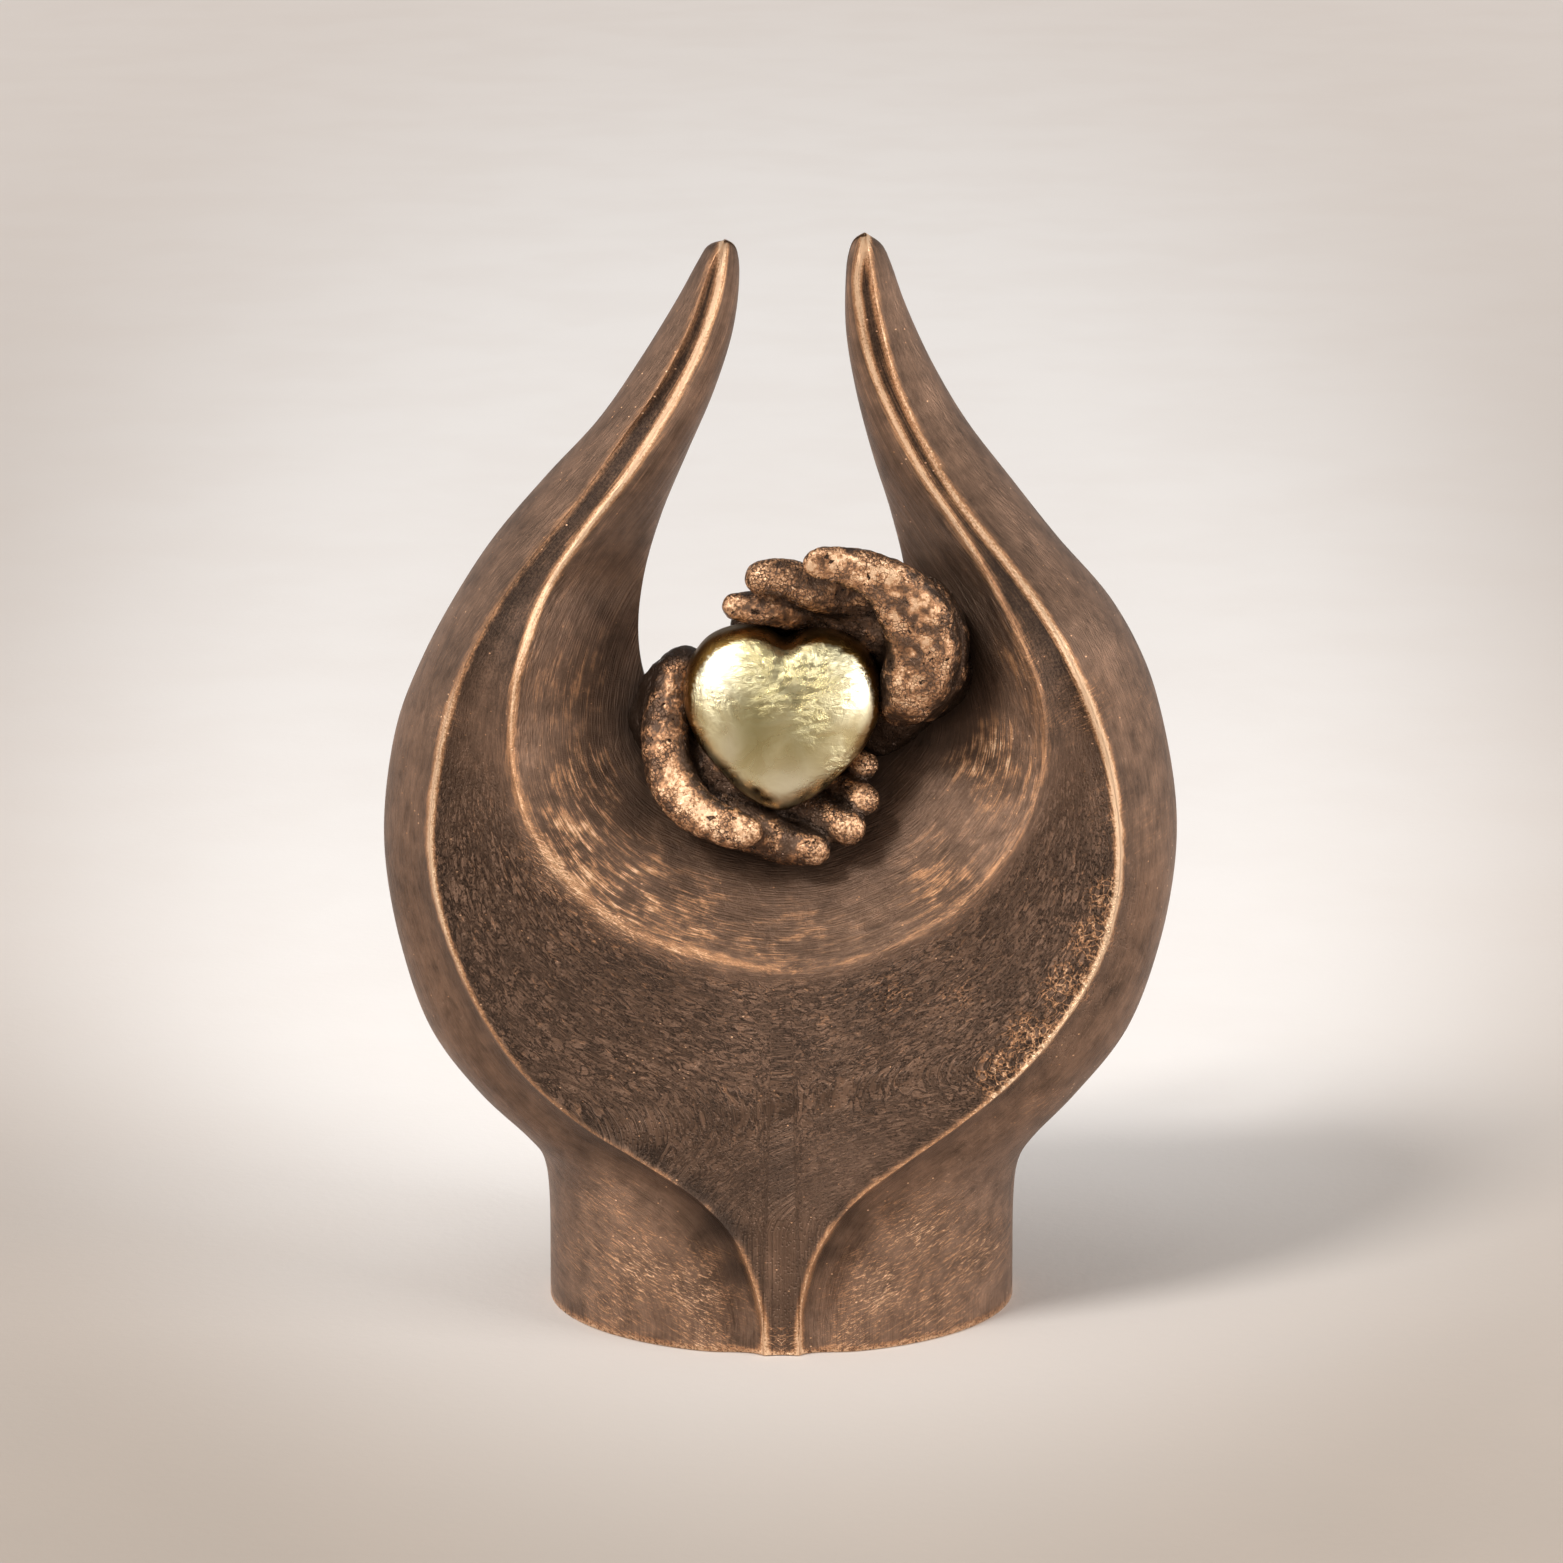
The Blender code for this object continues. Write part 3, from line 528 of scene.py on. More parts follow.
left_wing, right_wing = Wing(-1, LEFT), Wing(1, RIGHT)
print("edge of the left leaf is", round(left_wing.arcs["edge"][-1]), "mm long")

# %% [markdown]
# The skin is a long grid. Each row of the grid is one section that fans out from a pivot above
# the bowl: it starts at the rim, climbs over the lip, crosses the leaf and its edge, rounds the
# outline and returns over the back. Points crowd where the form turns sharply.

# %% Sections of a wing
FAN_HEIGHT = 0.66 * BODY_HEIGHT
FAN_CLIMB = 1.5
FAN_CLIMB_START = 0.773 * BODY_HEIGHT
OUTLINE_SECTIONS = 176
TIP_LENGTH = 6.0
TIP_SECTIONS = (5.0, 4.0, 3.0, 2.2, 1.5, 0.9, 0.45)


def crowded(count, ends=1.0):
    """Shares from 0 to 1 that crowd at both ends."""
    even = np.linspace(0.0, 1.0, count)
    return mix(even, 0.5 - 0.5 * np.cos(math.pi * even), ends)


def soft_corner(depths, beyond, softness):
    """Rounds the corner between a face and the other face's tangent, carried on past it."""
    return (depths + beyond + np.sqrt((depths - beyond) ** 2 + softness ** 2)) / 2


BOWL_SHARES = crowded(34)
LEAF_SHARES = crowded(46)[1:]
FLANK_SHARES = (np.linspace(0.0, 1.0, 32) ** 1.35)[1:]
BACK_SHARES = crowded(32)
# Every point of a section knows which face it lies on.
BOWL, LEAF, FLANK, BACK = 0.0, 1.0, 2.0, 3.0
# A raised line is at its full height where the face beside it is this wide, in millimetres. It
# fades far onto the leaf, and quickly onto the flank.
FULL_RELIEF_WIDTH = 12.0
FLUTED_WIDTH = 14.0
LEAF_FALL, FLANK_FALL = 4.0, 1.2


def depth_of_rim(rim):
    """The rim of the gap lies forward below, and returns to the middle up in the horns."""
    return -RIM_FORWARD * (1.0 - smoothstep(0.56, 0.76, rim[1] / BODY_HEIGHT))


def relief_share(places):
    """Relief is fainter near the sole."""
    return 0.35 + 0.65 * smoothstep(0.0, 0.5 * FOOT_HEIGHT, places[:, 1])


def front_of(wing, ends, arcs):
    """One section's front: places, depths, the distance along the lines in millimetres, and the
    face each point lies on.
    """
    rim, lip, edge, outline = ends
    height = BODY_HEIGHT
    low_wing = 1.0 - smoothstep(0.38 * height, 0.52 * height, edge[1])
    high_wing = smoothstep(0.68 * height, 0.86 * height, lip[1])
    aside = smoothstep(4.0, 45.0, edge[0]) * smoothstep(3.0, 30.0, lip[0])
    lip_hull = wing.hull(lip, wing.front)
    lip_rise = LIP_RISE * min(1.0, np.linalg.norm(lip - rim) / FULL_RELIEF_WIDTH)

    share = BOWL_SHARES
    bowl_places = lip + (rim - lip) * share[:, None]
    bowl = share + BOWL_FULLNESS * share * (1.0 - share)
    horn = 1.0 - np.sqrt(1.0 - share * share)
    bowl_depths = mix(-lip_hull - lip_rise, depth_of_rim(rim), mix(bowl, horn, high_wing))
    bowl_along = mix(arcs[1], arcs[0], share)
    into_bowl = share * np.linalg.norm(rim - lip)

    width = np.linalg.norm(edge - lip)
    share = LEAF_SHARES
    edge_rise = EDGE_RISE * mix(HIGH_EDGE_SHARE, 1.0, low_wing)
    edge_rise *= min(1.0, width / FULL_RELIEF_WIDTH)
    hollow = mix(0.0, min(LEAF_HOLLOW, 0.22 * width), aside)
    leaf_places = lip + (edge - lip) * share[:, None]
    fade = relief_share(leaf_places)
    away = distance_to(leaf_places, wing.lines["edge"])
    leaf_depths = -wing.hull(leaf_places, wing.front)
    leaf_depths -= lip_rise * np.exp(-share * width / LEAF_FALL)
    leaf_depths -= edge_rise * fade * np.exp(-away / LEAF_FALL)
    leaf_depths += hollow * np.abs(np.sin(math.pi * share)) ** 1.3
    leaf_along = mix(arcs[1], arcs[2], share)
    onto_leaf = share * width

    crest = -lip_hull - lip_rise
    bowl_slope = max(0.0, (bowl_depths[3] - crest) / max(into_bowl[3], 1e-6))
    leaf_slope = max(0.0, (leaf_depths[2] - crest) / max(onto_leaf[2], 1e-6))
    softness = LIP_SOFTNESS * mix(1.0, 0.15, smoothstep(22.0, 72.0, lip[0]))
    bowl_depths = soft_corner(bowl_depths, crest - leaf_slope * into_bowl, softness)
    leaf_depths = soft_corner(leaf_depths, crest - bowl_slope * onto_leaf, softness)

    span = np.linalg.norm(outline - edge)
    to_side = smoothstep(0.0, 12.0, outline[1])
    flute = FLUTE_DEPTH * low_wing * min(1.0, span / FLUTED_WIDTH)
    share = mix(FLANK_SHARES, np.sin(FLANK_SHARES * math.pi / 2), to_side)
    flank_places = edge + (outline - edge) * share[:, None]
    fade = relief_share(flank_places)
    away = distance_to(flank_places, wing.lines["edge"])
    flank_depths = -wing.hull(flank_places, wing.front)
    flank_depths -= edge_rise * fade * np.exp(-away / FLANK_FALL)
    wave = np.exp(-((away - FLUTE_WIDTH) / FLUTE_WIDTH) ** 2)
    flank_depths += flute * fade * wave * np.minimum(1.0, away / 2.0)
    flank_along = mix(arcs[2], arcs[3], share)

    places = np.vstack([bowl_places[::-1], leaf_places, flank_places])
    depths = np.concatenate([bowl_depths[::-1], leaf_depths, np.minimum(flank_depths, 0.0)])
    along = np.concatenate([bowl_along[::-1], leaf_along, flank_along])
    zone = np.repeat([BOWL, LEAF, FLANK], [len(bowl_along), len(leaf_along), len(flank_along)])
    return places, depths, along, zone


def back_of(wing, ends, arcs):
    """The same section's back, from the outline to the rim of the gap."""
    rim, lip, edge, outline = ends
    span = np.linalg.norm(outline - rim)
    rim_depth = depth_of_rim(rim)
    places = outline + (rim - outline) * BACK_SHARES[:, None]
    near = np.minimum(1.0, (1.0 - BACK_SHARES) * span / RIM_ROUNDING)
    shoulder = mix(rim_depth, wing.hull(places, wing.back, 0.0), np.sqrt(1.0 - (1.0 - near) ** 2))
    inner = np.clip(2.0 * BACK_SHARES - 1.0, 0.0, 1.0) ** 2
    parted = mix(smoothstep(PARTING_START, PARTING_END, places[:, 1]), 1.0, BACK_SHARES)
    winged = wing.hull(places, wing.back, parted) + rim_depth * inner
    depths = mix(shoulder, winged, smoothstep(GAP_FLOOR_HEIGHT, PARTING_END, rim[1]))
    along = mix(arcs[3], arcs[0], BACK_SHARES)
    return places, depths, along, np.full(len(along), BACK)


def section(wing, pivot, target, arc):
    """One whole row of the grid, as columns: out, depth, height, along, zone."""
    names = ("rim", "lip", "edge")
    if target[0] == 0.0:
        ends = [np.array([0.0, wing.lines[name][0, 1]]) for name in names[:2]] + [target]
        arcs = [0.0, 0.0, 0.0]
    else:
        crossed = [wing.cross(name, pivot, target) for name in names]
        ends = [point for point, _ in crossed]
        arcs = [length for _, length in crossed]
        if target[1] == 0.0 and target[0] <= STEM_WIDTH / 2:
            ends[2] = target
            arcs[2] = 0.0
    ends.append(target)
    arcs.append(arc)
    front = front_of(wing, ends, arcs)
    back = back_of(wing, ends, arcs)
    places, depths, along, zone = (np.concatenate(pair) for pair in zip(front, back))
    return np.column_stack([places[:, 0], depths, places[:, 1], along, zone])


def sections_of(wing):
    """All rows of one side, from the middle of the body to the tip of the wing."""
    foot, stem = FOOT_WIDTH / 2, STEM_WIDTH / 2
    rows = []
    outs = list(np.linspace(0.0, stem, 6))
    outs += list(mix(stem, foot, np.sin(np.linspace(0.02, 1.0, 38) * math.pi / 2) ** 1.15))
    for out in outs:
        rows.append(section(wing, np.array([0.0, FAN_HEIGHT]), np.array([out, 0.0]), out))
    line, arcs = wing.lines["outline"], wing.arcs["outline"]
    reaches = list(np.linspace(0.0, arcs[-1] - TIP_LENGTH, OUTLINE_SECTIONS)[1:])
    reaches += [arcs[-1] - short for short in TIP_SECTIONS]
    for reach in reaches:
        target = np.array([np.interp(reach, arcs, line[:, i]) for i in (0, 1)])
        climb = max(0.0, target[1] - FAN_CLIMB_START)
        pivot = np.array([0.0, FAN_HEIGHT + FAN_CLIMB * climb])
        rows.append(section(wing, pivot, target, foot + reach))
    last = rows[-1].copy()
    last[:, 0], last[:, 1], last[:, 2] = wing.tip[0], 0.0, wing.tip[1]
    rows.append(last)
    rows = np.array(rows)
    rows[:, :, 0] *= wing.side
    rows[:, :, 3] *= wing.side
    return rows


left_rows, right_rows = sections_of(left_wing), sections_of(right_wing)
skin = np.concatenate([left_rows[:0:-1], right_rows])
skin = np.concatenate([skin, skin[:, :1]], axis=1)
print("skin of", skin.shape[0], "sections with", skin.shape[1], "points each")

# %% [markdown]
# The grid primitive is added with one point for every point of the sections, each point is moved
# to its place, and merging by distance closes the seam at the rim and the two tips.


# %% Skin the body
def set_attribute(mesh, name, values):
    """Keeps one number for each point of a mesh, for its material to read."""
    layer = mesh.attributes.new(name, "FLOAT", "POINT")
    layer.data.foreach_set("value", np.asarray(values, dtype=np.float32))


def read_rows(items, name, width=3, kind=float):
    """One row of numbers for each item of a mesh, such as the places of its points."""
    numbers = np.empty(len(items) * width, dtype=kind)
    items.foreach_get(name, numbers)
    return numbers.reshape(-1, width)


def place_points(mesh, places):
    """Moves every point of a mesh to its place, given in millimetres."""
    mesh.vertices.foreach_set("co", (places * MM).ravel())


def cover(places, spots):
    """How strongly soft spots cover places. A spot is right, up, one radius or two, strength."""
    share = np.zeros(len(places))
    for right, up, *radii, strength in spots:
        away = np.hypot((places[:, 0] - right) / radii[0], (places[:, 1] - up) / radii[-1])
        share = np.maximum(share, strength * np.exp(-away ** 2))
    return share


def close_and_smooth(thing, seam=0.0):
    """Merges points closer than the seam, turns the faces outward and shades them smooth."""
    select_only(thing)
    bpy.ops.object.mode_set(mode="EDIT")
    bpy.ops.mesh.select_all(action="SELECT")
    if seam:
        bpy.ops.mesh.remove_doubles(threshold=seam)
    bpy.ops.mesh.normals_make_consistent(inside=False)
    bpy.ops.object.mode_set(mode="OBJECT")
    bpy.ops.object.shade_smooth()


SEAM = 0.02 * MM
rows, columns = skin.shape[:2]
bpy.ops.mesh.primitive_grid_add(x_subdivisions=rows - 1, y_subdivisions=columns - 1, size=2.0)
body = bpy.context.object
body.name = "casting_body"
points = read_rows(body.data.vertices, "co")
row_of = np.rint((points[:, 0] + 1.0) / 2.0 * (rows - 1)).astype(int)
column_of = np.rint((points[:, 1] + 1.0) / 2.0 * (columns - 1)).astype(int)
placed = skin[row_of, column_of]
box_low, box_high = np.array(cad_box) / MM
behind = placed[:, 1] > 0.0
placed[behind, 1] *= min(1.0, box_high[1] / placed[:, 1].max())
placed[:, :3] = np.clip(placed[:, :3], box_low, box_high)
place_points(body.data, placed[:, :3])

front_places = np.column_stack([np.abs(placed[:, 0]), placed[:, 2]])
is_left = placed[:, 0] < 0.0
off_edge = np.empty(len(placed))
off_lip = np.empty(len(placed))
for wing, mask in ((left_wing, is_left), (right_wing, ~is_left)):
    off_edge[mask] = distance_to(front_places[mask], wing.lines["edge"])
    off_lip[mask] = distance_to(front_places[mask], wing.lines["lip"])
zone = placed[:, 4]
set_attribute(body.data, "off_edge", np.where(zone >= FLANK, off_edge, -off_edge))
set_attribute(body.data, "off_lip", np.where(zone == BOWL, off_lip, -off_lip))
set_attribute(body.data, "along", placed[:, 3])
# On the leaf, streaks follow the lip above and run straight up and down on the stem.
on_stem = 1.0 - smoothstep(35.0, 85.0, placed[:, 2])
across_leaf = mix(-off_lip, placed[:, 0], on_stem)
# The flank's streaks are read far from the leaf's, so the two patterns don't mirror each other.
FLANK_SHIFT = 150.0
across = np.where(zone == BOWL, off_lip, across_leaf)
across = np.where(zone >= FLANK, FLANK_SHIFT + off_edge, across)
set_attribute(body.data, "across", across)

# A leaf wrinkles like leather below, and is smooth near its borders and up in the horns.
on_leaf = (zone == LEAF) * smoothstep(0.5, 7.0, off_lip) * smoothstep(0.0, 2.5, off_edge)
low_down = 1.0 - smoothstep(128.0, 176.0, placed[:, 2])
set_attribute(body.data, "leather", on_leaf * low_down * (1.0 - 0.6 * on_stem))
narrow = 1.0 - smoothstep(9.0, 24.0, off_lip + off_edge)
set_attribute(body.data, "strip", (zone == LEAF) * narrow * smoothstep(0.3, 1.6, off_lip))
set_attribute(body.data, "bowl", (zone == BOWL) * smoothstep(0.0, 3.0, off_lip))

# How brightly each raised line was rubbed, by its height: (height, left side, right side).
EDGE_SHINE = [(0, 0.8, 0.8), (25, 0.45, 0.6), (60, 0.35, 0.5), (90, 0.5, 0.9), (122, 1.0, 1.25),
              (160, 0.95, 1.3), (188, 0.5, 1.1), (215, 0.3, 0.8), (300, 0.4, 0.6)]
LIP_SHINE = [(95, 0.08, 0.08), (112, 0.25, 0.1), (135, 0.4, 0.12), (170, 0.5, 0.2),
             (200, 0.85, 0.35), (228, 1.0, 0.8), (300, 1.0, 0.9)]
for name, shine in (("edge_shine", EDGE_SHINE), ("lip_shine", LIP_SHINE)):
    heights, left_share, right_share = np.array(shine).T
    set_attribute(body.data, name, np.where(is_left, np.interp(placed[:, 2], heights, left_share),
                                            np.interp(placed[:, 2], heights, right_share)))
sole = np.exp(-(placed[:, 2] / 1.3) ** 2) * (placed[:, 1] < 10.0)
set_attribute(body.data, "sole", sole)
set_attribute(body.data, "in_front", (zone <= FLANK) * 1.0)

# The patches are soft spots in the front view: right, up, radius and strength, in millimetres.
RUBBED = [(-23, 17, 14, 1.0), (-38, 21, 15, 0.9), (-47, 37, 12, 0.6), (-22, 6, 10, 0.9),
          (-46, 8, 12, 0.7), (-56, 20, 12, 0.5), (26, 17, 13, 1.0), (38, 31, 15, 0.9),
          (54, 20, 12, 0.9), (42, 8, 14, 0.8), (20, 6, 9, 0.9), (0, 4, 5, 1.0),
          (-52, 155, 14, 0.7), (-57, 139, 14, 1.0), (-42, 129, 13, 0.95), (-24, 122, 12, 0.6),
          (-53, 181, 12, 0.45), (56, 163, 10, 1.0), (44, 131, 12, 0.5), (62, 191, 9, 0.4),
          (81, 178, 10, 0.5), (88, 150, 10, 0.4), (-88, 172, 9, 0.3), (-80, 150, 14, 0.25),
          (0, 116, 16, 0.3), (101, 140, 14, 0.35), (103, 175, 14, 0.3), (72, 66, 10, 0.4)]
PITTED = [(87, 126, 7, 0.8), (84, 114, 8, 1.0), (77, 101, 9, 1.0), (67, 88, 9, 0.9),
          (58, 79, 9, 0.8), (30, 104, 10, 0.55), (48, 101, 10, 0.5), (-47, 100, 17, 0.3)]
SHADED = [(21, 159, 13, 1.0), (-37, 172, 10, 0.9), (-36, 152, 9, 0.8), (31, 183, 10, 0.8),
          (-50, 60, 12, 0.3), (-17, 36, 7, 0.8), (-13, 22, 5, 0.7), (-24, 47, 7, 0.6),
          (-34, 58, 7, 0.45), (13, 28, 4, 0.5), (18, 40, 5, 0.5), (0, 50, 14, 0.25)]

in_view = placed[:, [0, 2]]
for name, spots in (("rubbed", RUBBED), ("pitted", PITTED), ("shaded", SHADED)):
    set_attribute(body.data, name, cover(in_view, spots) * (zone < BACK))
close_and_smooth(body, SEAM)
print("body has", len(body.data.polygons), "faces")

# %% [markdown]
# Each hand is modelled as a sculptor builds an armature: a tapered tube for every finger, the
# thumb, the palm and the heel. A voxel remesh then joins the tubes into one skin, as clay would.

# %% Heart's size and place
HEART_WIDTH = 53.0
HEART_HEIGHT = 50.0
HEART_THICKNESS = 31.0
HEART_OFF_RIM = 3.5
HEART_CENTRE = np.array([0.0, -(RIM_FORWARD + HEART_OFF_RIM + HEART_THICKNESS / 2), 174.2])
HEART_TURN = math.radians(2.5)

# %% Limbs of the hands
# Each point is (x, y, z, radius), measured from the heart's centre in hundredths of its width.
LOWER_HAND = {
    "wrist": [(-85, 76, -13, 15), (-72, 57, -11, 19), (-58, 32, -11, 20)],
    "edge": [(-58, 34, -11, 19), (-56, 32, 6, 17), (-47, 28, 17, 13)],
    "thumb": [(-46, 24, 18, 12), (-50, 18, 21, 12), (-55, 11, 12, 12), (-58, 6, 1, 12),
              (-58, 0, -10, 13), (-56, -9, -26, 13), (-48, -17, -39, 12), (-35, -22, -48, 11),
              (-24, -26, -51, 10), (-17, -27, -52, 8)],
    "palm": [(-51, 21, -15, 21), (-34, 15, -34, 24), (-8, 17, -42, 24), (13, 24, -32, 20)],
    "heel": [(-53, 36, -11, 23), (-26, 40, -24, 24), (6, 42, -24, 23)],
    "back": [(-47, 42, 0, 17), (-15, 45, -6, 21), (6, 45, -9, 20)],
    "index": [(-26, -2, -51, 14), (-8, -8, -59, 12), (4, -12, -63, 11), (16, -18, -64, 9)],
    "middle": [(-4, 13, -45, 14), (14, 4, -49, 12), (24, -6, -52, 11), (33, -15, -53, 10)],
    "ring": [(8, 21, -38, 14), (23, 11, -38, 11), (34, 2, -40, 10), (41, -8, -41, 9)],
    "little": [(11, 32, -24, 13), (28, 23, -25, 10), (36, 11, -26, 8), (42, 4, -26, 8)],
}
UPPER_HAND = {
    "wrist": [(94, 76, 15, 21), (85, 53, 17, 26), (73, 28, 19, 26)],
    "thumb": [(63, 17, 11, 13), (62, 2, 10, 15), (67, -6, 20, 18), (71, -11, 36, 19),
              (69, -16, 53, 18), (59, -19, 68, 16), (46, -22, 79, 12), (33, -24, 84, 10),
              (20, -26, 86, 9)],
    "thumb_ball": [(69, 8, 14, 18), (76, 6, 24, 18), (77, 8, 40, 18), (71, 11, 53, 18)],
    "palm": [(72, 21, 24, 24), (62, 19, 42, 24), (43, 19, 55, 23), (23, 26, 51, 20)],
    "heel": [(51, 38, -13, 18), (63, 34, 6, 23), (62, 42, 24, 26), (47, 43, 36, 24),
             (26, 42, 36, 23)],
    "back": [(57, 40, 11, 21), (26, 43, 19, 22), (6, 45, 11, 20)],
    "index": [(49, 9, 64, 16), (30, 4, 65, 13), (14, -4, 69, 11), (2, -8, 74, 10),
              (-10, -9, 75, 9)],
    "middle": [(34, 21, 55, 15), (14, 15, 54, 12), (-5, 6, 56, 10), (-22, 0, 58, 8)],
    "ring": [(23, 34, 47, 14), (6, 30, 47, 12), (-8, 24, 46, 10), (-17, 21, 44, 9)],
    "little": [(17, 47, 36, 13), (2, 43, 34, 11), (-9, 40, 31, 10), (-17, 36, 28, 9)],
}


def rounded_end(line):
    """Shrinking rings that close the last point of a limb with half a ball."""
    end = line[-1]
    along = end[:3] - line[-2, :3]
    along /= np.linalg.norm(along)
    angles = np.radians([25, 50, 68, 82])
    places = end[:3] + along * end[3] * np.sin(angles)[:, None]
    return np.column_stack([places, end[3] * np.cos(angles)])


def add_limb(name, joints):
    """A tapered round tube with rounded ends, as a curve that becomes a mesh."""
    line = smooth_line(joints, 6) * HEART_WIDTH / 100
    line[:, :3] += HEART_CENTRE
    line = np.vstack([rounded_end(line[::-1])[::-1], line, rounded_end(line)])
    curve = bpy.data.curves.new(name, "CURVE")
    curve.dimensions = "3D"
    curve.bevel_depth = MM
    curve.bevel_resolution = 8
    curve.use_fill_caps = True
    spline = curve.splines.new("POLY")
    spline.points.add(len(line) - 1)
    for point, joint in zip(spline.points, line):
        point.co = (joint[0] * MM, joint[1] * MM, joint[2] * MM, 1.0)
        point.radius = joint[3]
    thing = bpy.data.objects.new(name, curve)
    bpy.context.scene.collection.objects.link(thing)
    return thing


# %% Join the limbs into one skin
VOXEL = 0.7 * MM
SOFTENING = 8
bpy.ops.object.select_all(action="DESELECT")
limbs = []
for hand_name, hand in (("lower", LOWER_HAND), ("upper", UPPER_HAND)):
    for name, joints in hand.items():
        limbs.append(add_limb(hand_name + "_" + name, joints))
for limb in limbs:
    limb.select_set(True)
bpy.context.view_layer.objects.active = limbs[0]
bpy.ops.object.convert(target="MESH")
bpy.ops.object.join()
hands = bpy.context.object
hands.name = "cupped_hands"
remesh = hands.modifiers.new("Skin", "REMESH")
remesh.mode = "VOXEL"
remesh.voxel_size = VOXEL
bpy.ops.object.modifier_apply(modifier="Skin")
soften = hands.modifiers.new("Soften", "SMOOTH")
soften.factor = 0.5
soften.iterations = SOFTENING
bpy.ops.object.modifier_apply(modifier="Soften")
bpy.ops.object.shade_smooth()
print("hands have", len(hands.data.polygons), "faces")

# %% [markdown]
# The photograph shows both thumbs carved flat in front, with a crisp border, so the skin is held
# back softly behind a slanted plane. Where it lies on the plane it was also rubbed to copper.

# %% Carve the hands
# A plane has a depth at the height of the heart's centre, and a lean for each millimetre above.
UPPER_DEPTH, UPPER_LEAN = -10.5, -0.125
LOWER_DEPTH, LOWER_LEAN = -7.4, 0.40
# The two hands meet along a slanted line.
HANDS_SLANT = 0.7
HANDS_BORDER = (6.0, 11.0)
CARVE_SOFTNESS = 1.5
# Each layer of lumps has its fineness and its share of the height.
LUMP_LAYERS = ((0.14, 1.0), (0.42, 0.45), (1.1, 0.16))
LUMP_HEIGHT = 0.6
SMOOTHING_STEPS = 14
local = read_rows(hands.data.vertices, "co") / MM - HEART_CENTRE
upper = smoothstep(*HANDS_BORDER, local[:, 2] + HANDS_SLANT * local[:, 0])
upper_plane = UPPER_DEPTH + UPPER_LEAN * local[:, 2]
lower_plane = LOWER_DEPTH + LOWER_LEAN * local[:, 2]
plane = mix(lower_plane, upper_plane, upper)
behind = (local[:, 1] - plane) / CARVE_SOFTNESS
on_plane = 1.0 / (1.0 + np.exp(np.clip(behind, -30.0, 30.0)))
local[:, 1] = plane + CARVE_SOFTNESS * np.logaddexp(0.0, behind)
lumps = np.array([[sum(share * turbulence.noise(point * fine) for fine, share in LUMP_LAYERS)]
                  for point in map(Vector, local)])
normals = read_rows(hands.data.vertex_normals, "vector")
local += normals * lumps * LUMP_HEIGHT
place_points(hands.data, local + HEART_CENTRE)
hands.data.update()
edges = read_rows(hands.data.edges, "vertices", 2, np.int32)
neighbours = np.maximum(np.bincount(edges.ravel(), minlength=len(local)), 1)[:, None]
smoothed = local.copy()
for _ in range(SMOOTHING_STEPS):
    total = np.zeros_like(smoothed)
    np.add.at(total, edges[:, 0], smoothed[edges[:, 1]])
    np.add.at(total, edges[:, 1], smoothed[edges[:, 0]])
    smoothed = total / neighbours
bulge = ((local - smoothed) * normals).sum(1)
facing = -normals[:, 1]
set_attribute(hands.data, "ridge", smoothstep(0.05, 0.35, bulge))
set_attribute(hands.data, "crease", smoothstep(0.0, 0.30, -bulge))
set_attribute(hands.data, "front", smoothstep(0.25, 0.9, facing))
set_attribute(hands.data, "plane", on_plane)
set_attribute(hands.data, "border", (4.0 * on_plane * (1.0 - on_plane)) ** 3)
# How far back a point lies behind the heart's centre, for painted shade deep inside the hands.
set_attribute(hands.data, "deep", smoothstep(-4.0, 12.0, local[:, 1]))
print("bulge from", round(bulge.min(), 2), "to", round(bulge.max(), 2), "mm")

# %% [markdown]
# Shade is painted on the bowl where it meets the hands. Each point of the body keeps how close the
# hands are, and the material darkens it there.

# %% Painted shade around the hands
HANDS_REACH = 90.0 * MM
SHADE_REACH = 30.0 * MM
SHADE_FALL = 7.5 * MM
tree_of_hands = BVHTree.FromObject(hands, bpy.context.evaluated_depsgraph_get())
shade_near_hands = np.zeros(len(body.data.vertices))
for i, vertex in enumerate(body.data.vertices):
    if (vertex.co - Vector(HEART_CENTRE) * MM).length < HANDS_REACH:
        distance = tree_of_hands.find_nearest(vertex.co, SHADE_REACH)[3]
        if distance is not None:
            shade_near_hands[i] = math.exp(-distance / SHADE_FALL)
set_attribute(body.data, "shade_near_hands", shade_near_hands)
print("points near the hands", int((shade_near_hands > 0.1).sum()))

# %% [markdown]
# The heart is a sphere whose outline is drawn out to a heart in the front view, and pressed
# flatter in front than a ball would be.

# %% Heart
HEART_OUTLINE = [(0.0, 0.86), (0.2, 0.965), (0.48, 0.99), (0.78, 0.85), (0.97, 0.52),
                 (1.0, 0.18), (0.86, -0.24), (0.62, -0.56), (0.36, -0.83), (0.1, -0.98),
                 (0.0, -1.0)]


